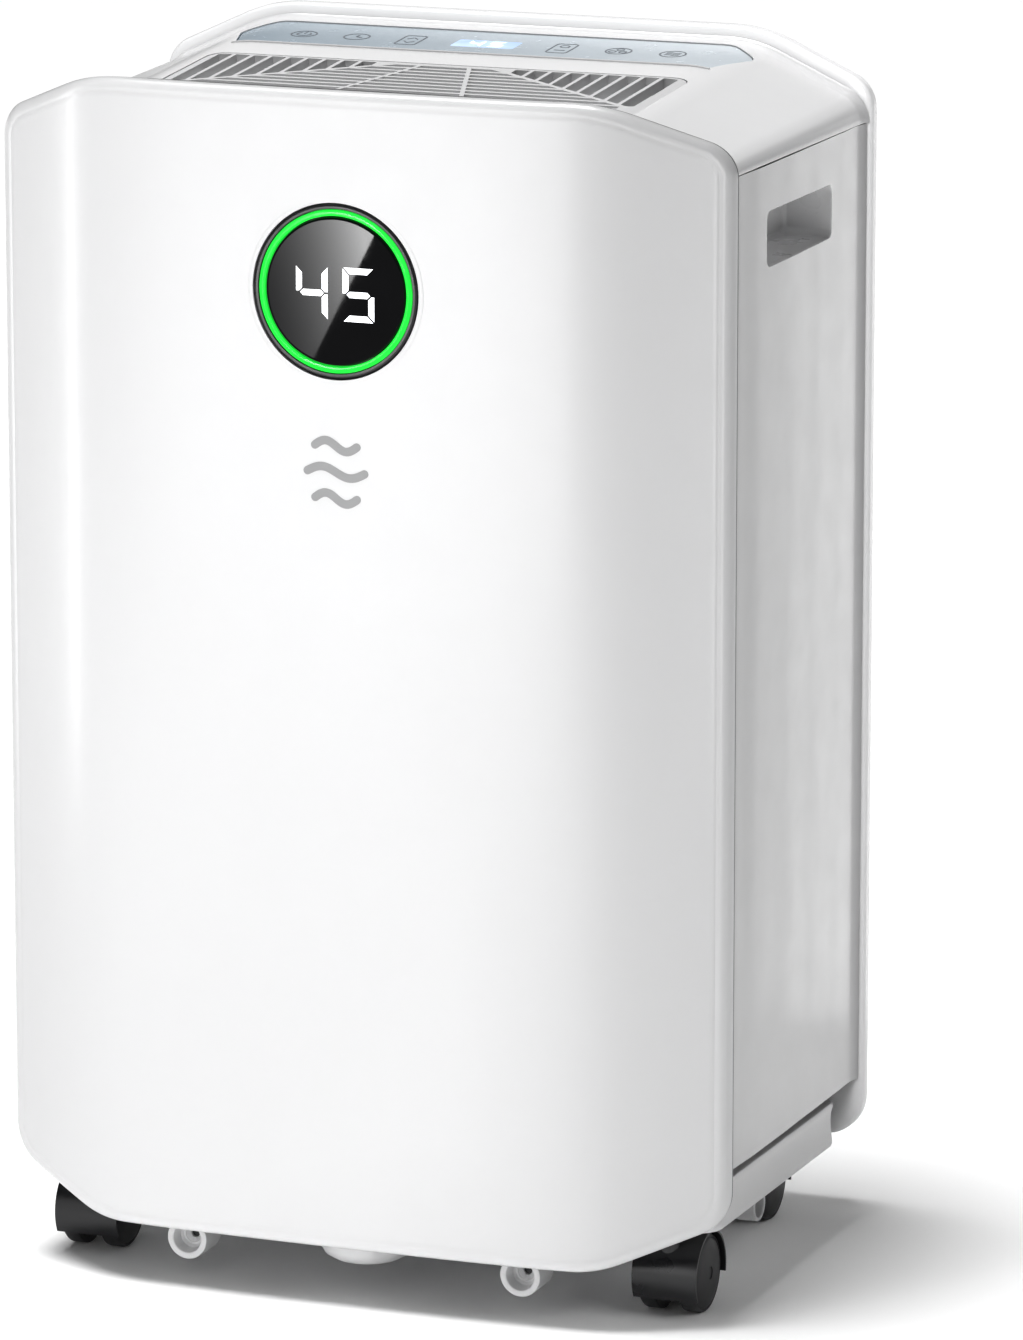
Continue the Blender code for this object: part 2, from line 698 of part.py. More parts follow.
def place(name, mesh, parent, location, turn=0.0):
    made = bpy.data.objects.new(name, mesh)
    bpy.context.scene.collection.objects.link(made)
    made.parent = parent
    made.location = Vector(location) * MM
    made.rotation_euler = (0, 0, turn)
    return made


def make_casters(mats):
    hood = hood_mesh(mats)
    wheel = wheel_mesh(mats)
    for name, (x, y) in CASTERS.items():
        pivot = bpy.data.objects.new("pivot_" + name, None)
        pivot.location = Vector((x, y - CASTER_TRAIL, 0)) * MM
        bpy.context.scene.collection.objects.link(pivot)
        place("caster_hood_" + name, hood, pivot, (0, CASTER_TRAIL, 0))
        place("wheel_%s_right" % name, wheel, pivot, (0, CASTER_TRAIL, 0))
        place("wheel_%s_left" % name, wheel, pivot, (0, CASTER_TRAIL, 0), math.pi)
        rod("axle_" + name, AXLE_R - 0.3, x - 13.4, x + 13.4, mats["steel"], "X", (y, WHEEL_R), 8)
        stem = [(0, 30), (STEM_R - 0.3, 30), (STEM_R - 0.3, 39.7), (STEM_COLLAR_R, 39.7),
                (STEM_COLLAR_R, 46.8), (STEM_R, 46.8), (STEM_R, 66.5), (0, 66.5)]
        turned("caster_stem_" + name, stem, mats["steel"], "Z", (x, y - CASTER_TRAIL, 0), 10)


# ---------------------------------------------------------------- tank

def make_tank(mats):
    low = (-TANK_X, TANK_FRONT_Y, TANK_Z[0])
    high = (TANK_X, BACK_Y, TANK_Z[1])
    t = TANK_WALL
    tank = prism("water_tank", rounded_box(low[:2], high[:2], 10), low[2], high[2], mats["tank"])
    hollow = prism("hollow", rounded_box((low[0] + t, low[1] + t), (high[0] - t, high[1] - t), 7.5),
                   low[2] + t, high[2] + 10, mats["tank"])
    grip = ((-55, BACK_Y - 22, 236), (55, BACK_Y + 10, 266))
    keep = block("keep", (grip[0][0] - t, grip[0][1] - t, grip[0][2] - t),
                 (grip[1][0] + t, grip[1][1], grip[1][2] + t), mats["tank"])
    cut(hollow, keep)
    cut(tank, hollow)
    cut(tank, block("grip", *grip, mats["tank"]))
    lid_low = TANK_Z[1] + GAP
    lid = prism("tank_lid", rounded_box((low[0] + 1, low[1] + 1), (high[0] - 1, high[1] - 1), 10),
                lid_low, lid_low + 4, mats["inner"])
    cut(lid, rod("fill", 14, lid_low - 5, lid_low + 15, mats["inner"], "Z", (0, 92), 14))
    for x in (-118, -78):
        weld(lid, block("hanger", (x - 2, 50, 256), (x + 2, 58, lid_low + 2), mats["inner"]))
        cut(lid, rod("eye", 1.6, x - 5, x + 5, mats["inner"], "X", (54, 260), 8))
    arm = rod("tank_float", 1.4, -123, -73, mats["trim"], "X", (54, 260), 8)
    weld(arm, block("beam", (-102, 54, 258.8), (-94, 88, 261.2), mats["trim"]))
    weld(arm, block("body", (-112, 78, 240), (-84, 104, 259.5), mats["trim"]))
    return tank


# ---------------------------------------------------------------- inside

def make_bulkhead(mats):
    """Wall behind the compressor and shelf over the tank, one folded sheet."""
    profile = [(12, 54), (14, 54), (14, BAY_TOP), (124, BAY_TOP), (124, BAY_TOP + 2), (12, BAY_TOP + 2)]
    wall = prism("bulkhead", profile, -165, 165, mats["steel"], "X")
    cut(wall, rod("spout_hole", 9, BAY_TOP - 10, BAY_TOP + 10, mats["steel"], "Z", (0, 92), 10))
    for x in (-152, 152):
        cut(wall, block("notch", (x - 14, 0, BAY_TOP - 12), (x + 20, 40, BAY_TOP + 10), mats["steel"]))
    return wall


def make_drip_tray(mats):
    low, high = 304, 328
    tray = prism("drip_tray", rounded_box((-150, 56), (150, 124), 6), low, high, mats["inner"])
    cut(tray, prism("hollow", rounded_box((-147.5, 58.5), (147.5, 121.5), 4), low + 2.5, high + 5,
                    mats["inner"]))
    weld(tray, rod("spout", 6, 290, low + 1, mats["inner"], "Z", (0, 92), 10))
    cut(tray, rod("bore", 4, 280, low + 10, mats["inner"], "Z", (0, 92), 10))
    weld(tray, rod("outlet", 6, 123, BACK_Y - 4, mats["inner"], "Y", DRAIN, 10))
    cut(tray, rod("outlet_bore", 4, 118, BACK_Y, mats["inner"], "Y", DRAIN, 10))
    return tray


def make_coils(mats):
    """Finned blocks with a rib of end plates, evaporator towards the filter."""
    for name, y0, y1 in (("condenser_coil", 66, 90), ("evaporator_coil", 95, 120)):
        coil = block(name, (-COIL_X, y0, COIL_Z[0]), (COIL_X, y1, COIL_Z[1]), mats["fins"])
        for x in range(-120, 121, 30):
            cut(coil, block("gap", (x - 9, y0 - 1, COIL_Z[0] + 8), (x + 9, y0 + 6, COIL_Z[1] - 8),
                            mats["fins"]))


def make_compressor(mats):
    x, y = COMPRESSOR
    r = COMPRESSOR_R
    z0, z1 = COMPRESSOR_Z
    profile = [(0, z0), (r - 8, z0), (r, z0 + 10), (r, z1 - 30), (r - 6, z1 - 14),
               (r - 24, z1 - 2), (0, z1)]
    body = turned("compressor", profile, mats["enamel"], "Z", (x, y, 0), 20)
    for k, degrees in enumerate((-90, 30, 150), start=1):
        angle = math.radians(degrees)
        spot = (x + FOOT_CIRCLE_R * math.cos(angle), y + FOOT_CIRCLE_R * math.sin(angle))
        weld(body, rod("ear", 8, z0 + 1, z0 + 4, mats["enamel"], "Z", spot, 10))
        reach = (x + 48 * math.cos(angle), y + 48 * math.sin(angle))
        weld(body, rod("root", 11, z0 + 1, z0 + 4, mats["enamel"], "Z", reach, 10))
        tube("compressor_foot_%d" % k, 8, 3, TRAY_FLOOR + 0.3, z0 + 0.7, mats["rubber"], "Z", spot, 10)
    return body


def make_accumulator(mats):
    x, y = ACCUMULATOR
    turned("accumulator", [(0, 90), (14, 92), (20, 100), (20, 214), (14, 224), (0, 226)],
           mats["enamel"], "Z", (x, y, 0), 14)
    route = [(x, y, 89.5), (x, y, 78), (x - 8, y + 2, 68), (x - 20, y + 6, 72), (x - 24, y + 8, 92),
             (x - 26.5, y + 9.0, 100), (x - 31.2, y + 10.2, 101)]
    pipe("accumulator_pipe", route, 3, mats["copper"])


def make_pipes(mats):
    x, y = ACCUMULATOR
    suction = [(-COIL_X - 0.4, 107, 500), (-146, 107, 498), (-152, 107, 480), (-152, 106, 370),
               (-152, 96, 348), (-152, 60, 345), (-152, 0, 345), (-150, -28, 335), (-142, -34, 300),
               (-100, -52, 286), (-20, -70, 286), (12, y, 280), (x, y, 262), (x, y, 226.6)]
    pipe("suction_pipe", suction, 4.5, mats["copper"])
    cx, cy = COMPRESSOR
    discharge = [(cx + 10, cy + 8, 250.6), (cx + 10, cy + 8, 268), (cx + 16, cy + 14, 300),
                 (cx + 40, cy + 18, 314), (60, -34, 316), (130, -32, 316), (150, -26, 322),
                 (153, 0, 340), (153, 60, 350), (150, 76, 354), (COIL_X + 0.4, 78, 356)]
    pipe("discharge_pipe", discharge, 3.5, mats["copper"])


def make_fan(mats):
    y0, y1 = FAN_Y
    r = SCROLL_R

    def volute(radius, top):
        points = [(radius, top)]
        for k in range(13):
            angle = -math.pi * k / 12
            points.append((radius * math.cos(angle), FAN_Z + radius * math.sin(angle)))
        points.append((-radius, top))
        return points

    scroll = prism("fan_scroll", volute(r, SCROLL_TOP), y0, y1, mats["inner"], "Y")
    cut(scroll, prism("hollow", volute(r - 2.5, SCROLL_TOP + 10), y0 + 2.5, y1 - 2.5, mats["inner"], "Y"))
    cut(scroll, rod("eye", 70, y1 - 10, y1 + 10, mats["inner"], "Y", (0, FAN_Z), 20))
    cut(scroll, rod("shaft_hole", 12, y0 - 10, y0 + 10, mats["inner"], "Y", (0, FAN_Z), 16))
    round_shading(scroll, 30)
    turned("fan_motor", [(4.4, y0 - 38), (34, y0 - 38), (42, y0 - 32), (42, y0 - 10), (36, y0 - 6),
                         (9, y0 - 6), (9, y0 - 2), (4.4, y0 - 2)],
           mats["steel"], "Y", (0, 0, FAN_Z), 16)
    rod("fan_shaft", 4, y0 - 40, y0 + 60, mats["steel"], "Y", (0, FAN_Z), 12)
    back = y0 + 16
    wheel = turned("fan_impeller", [(4.3, back), (14, back), (14, back + 3), (IMPELLER_R, back + 3),
                                    (IMPELLER_R, back + 6), (14, back + 6), (12, back + 40),
                                    (4.3, back + 40)],
                   mats["black"], "Y", (0, 0, FAN_Z), 24)
    weld(wheel, tube("ring", IMPELLER_R, IMPELLER_R - 9, back + 60, back + 63, mats["black"], "Y",
                     (0, FAN_Z), 24))
    for k in range(IMPELLER_BLADES):
        # each blade stands clear of the joins between the wheel's flats
        angle = 2 * math.pi * (k - 0.12) / IMPELLER_BLADES
        corners = []
        for radius, lead in ((IMPELLER_R - 7.4, 0.0), (IMPELLER_R - 3.2, 0.09),
                             (IMPELLER_R - 3.2, 0.125), (IMPELLER_R - 7.4, 0.035)):
            corners.append((radius * math.cos(angle + lead), FAN_Z + radius * math.sin(angle + lead)))
        weld(wheel, prism("blade", corners, back + 5, back + 61, mats["black"], "Y"))
    return round_shading(wheel, 30)


def make_electrics(mats):
    box = block("electrical_box", (62, -118, 236), (150, -64, 306), mats["steel"])
    cut(box, block("room", (64, -116, 238), (148, -66, 320), mats["steel"]))
    turned("run_capacitor", [(0, 90), (17, 90), (17, 158), (14, 162), (0, 162)], mats["fins"],
           "Z", (110, -50, 0), 14)
    sensor = block("humidity_sensor", (-160, 108, 560), (-148, 120, 584), mats["trim"])
    for z in (565, 571, 577):
        cut(sensor, block("vent", (-157, 100, z), (-151, 112, z + 2.5), mats["trim"]))
    switch = block("tank_switch", (152, 24, 262), (160, 46, 276), mats["black"])
    weld(switch, block("blade", (150.6, 28, 267), (153, 42, 268.2), mats["black"]))
    return switch


def build():
    clear_scene()
    mats = make_materials()
    make_front_panel(mats)
    make_display(mats)
    make_top_cover(mats)
    make_top_grille(mats)
    make_controls(mats)
    make_side_panel(mats, "side_panel_left", -1)
    make_side_panel(mats, "side_panel_right", 1)
    make_back_shell(mats)
    make_rear_fittings(mats)
    make_base_tray(mats)
    make_casters(mats)
    make_tank(mats)
    make_bulkhead(mats)
    make_drip_tray(mats)
    make_coils(mats)
    make_compressor(mats)
    make_accumulator(mats)
    make_pipes(mats)
    make_fan(mats)
    make_electrics(mats)


build()
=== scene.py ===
"""Looks of a portable dehumidifier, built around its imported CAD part.

Lengths are in millimetres in the same frame as the part: +Z up, the front faces -Y, and the
origin is on the floor in the middle. MM turns them into metres. Places come from the CAD nodes.
"""

import json
import math

import bmesh
import bpy
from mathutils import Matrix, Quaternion, Vector

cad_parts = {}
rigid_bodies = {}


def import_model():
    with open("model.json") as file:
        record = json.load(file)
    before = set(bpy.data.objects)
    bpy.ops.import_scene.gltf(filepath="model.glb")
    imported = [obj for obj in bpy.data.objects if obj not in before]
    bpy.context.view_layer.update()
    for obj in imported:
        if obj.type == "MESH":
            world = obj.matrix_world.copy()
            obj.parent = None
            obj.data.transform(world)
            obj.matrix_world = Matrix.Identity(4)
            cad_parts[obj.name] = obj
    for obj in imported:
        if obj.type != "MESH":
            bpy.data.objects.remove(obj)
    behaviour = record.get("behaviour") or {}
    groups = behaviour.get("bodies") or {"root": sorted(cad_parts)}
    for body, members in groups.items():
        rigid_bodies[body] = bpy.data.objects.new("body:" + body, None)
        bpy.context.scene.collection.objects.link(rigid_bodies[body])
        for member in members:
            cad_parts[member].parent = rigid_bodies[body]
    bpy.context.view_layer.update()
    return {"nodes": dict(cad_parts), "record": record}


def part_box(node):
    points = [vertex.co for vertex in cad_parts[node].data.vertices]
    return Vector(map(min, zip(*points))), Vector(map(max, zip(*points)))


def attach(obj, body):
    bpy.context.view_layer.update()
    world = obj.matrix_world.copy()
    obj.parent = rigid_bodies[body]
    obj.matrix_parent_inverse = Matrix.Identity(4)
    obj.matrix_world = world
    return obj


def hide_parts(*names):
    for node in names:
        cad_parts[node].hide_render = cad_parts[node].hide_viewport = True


MM = 0.001
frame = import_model()


def span(node):
    """Lowest and highest corner of a CAD node in millimetres."""
    low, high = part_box(node)
    return low / MM, high / MM


# ---- driving dimensions

PANEL_LOW, PANEL_HIGH = span("front_panel")
SIDE_LOW, SIDE_HIGH = span("side_panel_right")
COVER_LOW, COVER_HIGH = span("top_cover")
SHELL_LOW, SHELL_HIGH = span("back_shell")
GRILLE_LOW, GRILLE_HIGH = span("top_grille")
STRIP_LOW, STRIP_HIGH = span("control_panel")
RING_LOW, RING_HIGH = span("display_ring")
LENS_LOW, LENS_HIGH = span("display_lens")
TRAY_HIGH = span("base_tray")[1]
FILTER_LOW, FILTER_HIGH = span("filter_frame")
TANK_LOW, TANK_HIGH = span("water_tank")

WALL = 3.0
GAP = 0.4

# Front panel
PANEL_HALF_W = PANEL_HIGH.x
PANEL_BOW = 1.5
PANEL_BEND_X = 134.5
PANEL_SWEEP = 32.0
PANEL_SOFTNESS = 20.0
PANEL_RIM = 4.6

# Display
DISPLAY_Z = (RING_LOW.z + RING_HIGH.z) / 2
RING_R = RING_HIGH.x
RING_WIDTH = 3.1
LENS_R = LENS_HIGH.x

# Top face: rises towards the back, flat between the two bends
TOP_SLOPE = 0.079
TOP_REAR_Z = COVER_HIGH.z
TOP_REAR_Y = COVER_HIGH.y
TOP_BEND_X = 131.0
TOP_BEND_R = 70.0
TOP_DROP = 27.0
SEAM_Z = COVER_LOW.z

# Flare of the cover and the side panels against the rear rim
FLARE_LENGTH = 9.4
FLARE_RISE = 2.6


# ---- node helpers

def new_material(name):
    made = bpy.data.materials.new(name)
    made.use_nodes = True
    return made, made.node_tree, made.node_tree.nodes["Principled BSDF"]


def coordinates(tree, stretch=(1.0, 1.0, 1.0)):
    place = tree.nodes.new("ShaderNodeTexCoord")
    mapping = tree.nodes.new("ShaderNodeMapping")
    mapping.inputs["Scale"].default_value = stretch
    tree.links.new(place.outputs["Object"], mapping.inputs["Vector"])
    return mapping.outputs["Vector"]


def noise(tree, scale, detail=3.0, stretch=(1.0, 1.0, 1.0)):
    """Noise over object space; scale is in cells per metre."""
    made = tree.nodes.new("ShaderNodeTexNoise")
    made.inputs["Scale"].default_value = scale
    made.inputs["Detail"].default_value = detail
    tree.links.new(coordinates(tree, stretch), made.inputs["Vector"])
    return made.outputs["Fac"]


def spread(tree, value, low, high, start=0.3, end=0.7):
    """Maps a value from start..end to low..high."""
    made = tree.nodes.new("ShaderNodeMapRange")
    made.inputs["From Min"].default_value = start
    made.inputs["From Max"].default_value = end
    made.inputs["To Min"].default_value = low
    made.inputs["To Max"].default_value = high
    tree.links.new(value, made.inputs["Value"])
    return made.outputs["Result"]


def tint(tree, value, first, second):
    """Colour between two colours by a 0..1 value."""
    made = tree.nodes.new("ShaderNodeMix")
    made.data_type = "RGBA"
    made.inputs["A"].default_value = (*first, 1.0)
    made.inputs["B"].default_value = (*second, 1.0)
    tree.links.new(value, made.inputs["Factor"])
    return made.outputs["Result"]


def bump(tree, shader, height, strength, depth):
    made = tree.nodes.new("ShaderNodeBump")
    made.inputs["Strength"].default_value = strength
    made.inputs["Distance"].default_value = depth * MM
    tree.links.new(height, made.inputs["Height"])
    tree.links.new(made.outputs["Normal"], shader.inputs["Normal"])


def scaled(colour, factor):
    return tuple(min(c * factor, 1.0) for c in colour)


# ---- materials

def plastic(name, colour, roughness, grain=900.0, relief=0.02, vary=0.02, coat=0.0, coat_rough=0.1,
            rough_vary=0.04):
    """Moulded plastic: faint flow marks in colour and gloss, and a fine spark-eroded grain."""
    made, tree, shader = new_material(name)
    flow = noise(tree, 7.0, 4.0, (1.0, 1.0, 0.35))
    colours = tint(tree, spread(tree, flow, 0.0, 1.0), scaled(colour, 1 - vary), scaled(colour, 1 + vary))
    tree.links.new(colours, shader.inputs["Base Color"])
    gloss = noise(tree, 60.0, 3.0)
    rough = spread(tree, gloss, roughness - rough_vary, roughness + rough_vary)
    tree.links.new(rough, shader.inputs["Roughness"])
    bump(tree, shader, noise(tree, grain, 2.0), 0.35, relief)
    shader.inputs["Coat Weight"].default_value = coat
    shader.inputs["Coat Roughness"].default_value = coat_rough
    return made


def metal(name, colour, roughness, stretch, relief=0.01, grain=400.0):
    """Drawn or brushed metal with long fine streaks and a few dull patches."""
    made, tree, shader = new_material(name)
    shader.inputs["Metallic"].default_value = 1.0
    streaks = noise(tree, grain, 4.0, stretch)
    tree.links.new(tint(tree, streaks, scaled(colour, 0.8), scaled(colour, 1.15)),
                   shader.inputs["Base Color"])
    patches = noise(tree, 25.0, 3.0)
    tree.links.new(spread(tree, patches, roughness * 0.8, roughness * 1.3), shader.inputs["Roughness"])
    bump(tree, shader, streaks, 0.3, relief)
    return made


def glow(name, colour, strength, edge_colour, scale=140.0):
    """Lit light guide with slightly uneven brightness."""
    made, tree, shader = new_material(name)
    uneven = noise(tree, scale, 2.0)
    lit = tint(tree, spread(tree, uneven, 0.0, 1.0), edge_colour, colour)
    tree.links.new(lit, shader.inputs["Emission Color"])
    tree.links.new(lit, shader.inputs["Base Color"])
    shader.inputs["Emission Strength"].default_value = strength
    shader.inputs["Roughness"].default_value = 0.03
    shader.inputs["IOR"].default_value = 1.22
    return made


def strip_material():
    """Glossy blue-grey touch strip with a painted sheen that makes it paler to the right."""
    made, tree, shader = new_material("strip_blue_grey_painted_sheen")
    place = tree.nodes.new("ShaderNodeTexCoord")
    parts = tree.nodes.new("ShaderNodeSeparateXYZ")
    tree.links.new(place.outputs["Object"], parts.inputs["Vector"])
    # Painted sheen: paler towards +X, plus a little random tone.
    painted_sheen = spread(tree, parts.outputs["X"], 0.0, 1.0, STRIP_LOW.x * MM, STRIP_HIGH.x * MM)
    sheen_and_tone = tree.nodes.new("ShaderNodeMath")
    sheen_and_tone.operation = "MULTIPLY_ADD"
    tree.links.new(noise(tree, 20.0, 3.0), sheen_and_tone.inputs[0])
    sheen_and_tone.inputs[1].default_value = 0.06
    tree.links.new(painted_sheen, sheen_and_tone.inputs[2])
    tree.links.new(tint(tree, sheen_and_tone.outputs["Value"], (0.44, 0.51, 0.57), (0.74, 0.79, 0.83)),
                   shader.inputs["Base Color"])
    tree.links.new(spread(tree, noise(tree, 90.0), 0.22, 0.28), shader.inputs["Roughness"])
    shader.inputs["IOR"].default_value = 1.3
    return made


def lens_material():
    made, tree, shader = new_material("lens_black_glass")
    tree.links.new(tint(tree, noise(tree, 40.0), (0.006, 0.006, 0.007), (0.010, 0.010, 0.012)),
                   shader.inputs["Base Color"])
    tree.links.new(spread(tree, noise(tree, 120.0), 0.012, 0.03), shader.inputs["Roughness"])
    shader.inputs["IOR"].default_value = 1.22
    return made


def board_material():
    """Solder-masked circuit board with tracks and pads."""
    made, tree, shader = new_material("board_green")
    tracks = tree.nodes.new("ShaderNodeTexBrick")
    tracks.inputs["Scale"].default_value = 120.0
    tracks.inputs["Mortar Size"].default_value = 0.03
    tracks.inputs["Color1"].default_value = (0.02, 0.16, 0.06, 1.0)
    tracks.inputs["Color2"].default_value = (0.02, 0.20, 0.07, 1.0)
    tracks.inputs["Mortar"].default_value = (0.06, 0.34, 0.12, 1.0)
    tree.links.new(coordinates(tree), tracks.inputs["Vector"])
    tree.links.new(tracks.outputs["Color"], shader.inputs["Base Color"])
    bump(tree, shader, tracks.outputs["Fac"], 0.4, 0.05)
    shader.inputs["Roughness"].default_value = 0.35
    return made


def weave_material(name, colour, pitch):
    """Woven nylon: two crossed wave textures as threads."""
    made, tree, shader = new_material(name)
    threads = []
    for direction in ("X", "Z"):
        wave = tree.nodes.new("ShaderNodeTexWave")
        wave.bands_direction = direction
        wave.inputs["Scale"].default_value = 1.0 / (pitch * MM * 20.0)
        wave.inputs["Distortion"].default_value = 0.4
        tree.links.new(coordinates(tree), wave.inputs["Vector"])
        threads.append(wave.outputs["Fac"])
    over = tree.nodes.new("ShaderNodeMath")
    over.operation = "MAXIMUM"
    tree.links.new(threads[0], over.inputs[0])
    tree.links.new(threads[1], over.inputs[1])
    tree.links.new(tint(tree, over.outputs["Value"], scaled(colour, 0.3), scaled(colour, 1.4)),
                   shader.inputs["Base Color"])
    bump(tree, shader, over.outputs["Value"], 0.6, 0.4)
    shader.inputs["Roughness"].default_value = 0.8
    return made


def tank_material():
    """Smoke-tinted translucent plastic with faint flow lines."""
    made, tree, shader = new_material("tank_smoke")
    flow = noise(tree, 12.0, 4.0, (1.0, 1.0, 0.3))
    tree.links.new(tint(tree, flow, (0.42, 0.45, 0.49), (0.54, 0.57, 0.61)), shader.inputs["Base Color"])
    tree.links.new(spread(tree, noise(tree, 50.0), 0.14, 0.26), shader.inputs["Roughness"])
    shader.inputs["Transmission Weight"].default_value = 0.55
    shader.inputs["IOR"].default_value = 1.3
    return made


def make_materials():
    """All finishes by the key that the pieces name."""
    return {
        "shell": plastic("shell_white", (0.73, 0.73, 0.735), 0.34, 1100.0, 0.012, 0.012, 0.7, 0.20),
        # Painted shade: the shell's white plastic made darker for the side skins, standing in for the shade
        # on the sides.
        "flank": plastic("flank_white_painted_shade", (0.56, 0.56, 0.565), 0.34, 1100.0, 0.012, 0.012, 0.7, 0.20),
        "trim": plastic("trim_white", (0.72, 0.72, 0.725), 0.42, 900.0, 0.02, 0.015, 0.3, 0.3),
        "inner": plastic("inner_grey", (0.45, 0.46, 0.48), 0.52, 700.0, 0.04, 0.05),
        "strip": strip_material(),
        "lens": lens_material(),
        "ring": glow("ring_green", (0.030, 0.68, 0.075), 1.0, (0.02, 0.58, 0.06)),
        "board": board_material(),
        "black_plastic": plastic("black_plastic", (0.018, 0.018, 0.020), 0.30, 800.0, 0.02, 0.15, 0.4, 0.2),
        "tread": plastic("tread_black", (0.030, 0.030, 0.032), 0.42, 600.0, 0.04, 0.18),
        "rubber": plastic("rubber_black", (0.022, 0.022, 0.023), 0.75, 500.0, 0.08, 0.2),
        "steel": metal("zinc_steel", (0.56, 0.57, 0.59), 0.32, (1.0, 1.0, 0.05)),
        "enamel": plastic("black_enamel", (0.014, 0.014, 0.016), 0.28, 300.0, 0.03, 0.2, 0.5, 0.12),
        "copper": metal("drawn_copper", (0.78, 0.36, 0.20), 0.30, (1.0, 1.0, 1.0), 0.01, 200.0),
        "fins": metal("fin_aluminium", (0.72, 0.73, 0.75), 0.38, (1.0, 1.0, 0.05)),
        "tank": tank_material(),
        "mesh": weave_material("filter_weave", (0.12, 0.12, 0.13), 1.4),
        "ink": plastic("print_grey", (0.37, 0.37, 0.375), 0.35, 900.0, 0.01, 0.04),
        "icon_ink": plastic("icon_ink", (0.10, 0.12, 0.15), 0.30, 900.0, 0.01, 0.05),
        "digit": glow("digit_white", (1.0, 1.0, 1.0), 1.1, (0.94, 0.96, 1.0)),
        "readout": glow("readout_blue_white", (0.80, 0.90, 1.0), 1.1, (0.70, 0.84, 1.0)),
        "window": glow("readout_window", (0.52, 0.62, 0.78), 0.75, (0.40, 0.50, 0.66), 60.0),
        "collar": plastic("collar_grey", (0.12, 0.12, 0.125), 0.32, 700.0, 0.02, 0.1),
        "bezel": plastic("bezel_black", (0.03, 0.03, 0.032), 0.3, 900.0, 0.01, 0.1),
        # Painted shade: dark grey for the ring behind the front panel's rim, standing in for the shade in
        # the gap.
        "gap_shade": plastic("gap_shade_grey", (0.20, 0.20, 0.205), 0.5, 700.0, 0.02, 0.1),
        # Painted light: a white lighter than the shell's, for the recess walls and the outlet floor,
        # lifting them out of the shade they lie in.
        "painted_light_white": plastic("white_painted_light", (0.86, 0.86, 0.865), 0.30, 900.0, 0.02, 0.04, 0.5, 0.12),
    }


FINISHES = make_materials()


# ---- mesh helpers

def add_mesh(name, vertices, faces, finish, body="housing", sharp=32.0):
    """Closed mesh from millimetre coordinates, faces out, riding on a CAD body."""
    mesh = bpy.data.meshes.new(name)
    mesh.from_pydata([Vector(v) * MM for v in vertices], [], faces)
    work = bmesh.new()
    work.from_mesh(mesh)
    bmesh.ops.remove_doubles(work, verts=work.verts, dist=0.002 * MM)
    bmesh.ops.recalc_face_normals(work, faces=work.faces)
    work.to_mesh(mesh)
    work.free()
    mesh.materials.append(FINISHES[finish])
    made = bpy.data.objects.new(name, mesh)
    bpy.context.scene.collection.objects.link(made)
    soften(made, sharp)
    if body:
        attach(made, body)
    return made


def soften(obj, sharp=32.0):
    obj.data.shade_smooth()
    obj.data.set_sharp_from_angle(angle=math.radians(sharp))


def loft(name, loops, finish, body="housing", sharp=32.0, ring=False):
    """Skin through closed loops of equal length; the ends are capped, or joined if ring is set."""
    count = len(loops[0])
    vertices = [p for loop in loops for p in loop]
    faces = []
    pairs = len(loops) if ring else len(loops) - 1
    for k in range(pairs):
        a = k * count
        b = ((k + 1) % len(loops)) * count
        for i in range(count):
            j = (i + 1) % count
            faces.append([a + i, a + j, b + j, b + i])
    if not ring:
        faces.append(list(range(count - 1, -1, -1)))
        faces.append(list(range((len(loops) - 1) * count, len(loops) * count)))
    return add_mesh(name, vertices, faces, finish, body, sharp)


def along(axis, u, v, h):
    if axis == "X":
        return (h, u, v)
    if axis == "Y":
        return (u, h, v)
    return (u, v, h)


def prism(name, outline, low, high, finish, axis="Z", body="housing"):
    loops = [[along(axis, u, v, h) for u, v in outline] for h in (low, high)]
    return loft(name, loops, finish, body)


def tool(outline, low, high, finish, axis="Z"):
    """Solid that another piece is cut, welded or joined with."""
    return prism("tool", outline, low, high, finish, axis, None)


def turned(name, profile, finish, axis="Z", centre=(0, 0, 0), segments=64, body="housing",
           sharp=32.0):
    """Solid of revolution from (radius, height) points, from pole to pole or as a closed ring."""
    poles = profile[0][0] == 0 and profile[-1][0] == 0
    vertices = []
    rings = []
    for radius, height in profile:
        first = len(vertices)
        steps = 1 if radius == 0 else segments
        rings.append([first + (k % steps) for k in range(segments)])
        for k in range(steps):
            angle = 2 * math.pi * k / segments
            x, y, z = along(axis, radius * math.cos(angle), radius * math.sin(angle), height)
            vertices.append((x + centre[0], y + centre[1], z + centre[2]))
    pairs = list(zip(rings, rings[1:]))
    if not poles:
        pairs.append((rings[-1], rings[0]))
    faces = []
    for lower, upper in pairs:
        for k in range(segments):
            n = (k + 1) % segments
            corners = [lower[k], lower[n], upper[n], upper[k]]
            faces.append(list(dict.fromkeys(corners)))
    return add_mesh(name, vertices, faces, finish, body, sharp)


def arc(centre, radius, first, last, steps):
    points = []
    for k in range(steps + 1):
        angle = math.radians(first + (last - first) * k / steps)
        points.append((centre[0] + radius * math.cos(angle), centre[1] + radius * math.sin(angle)))
    return points


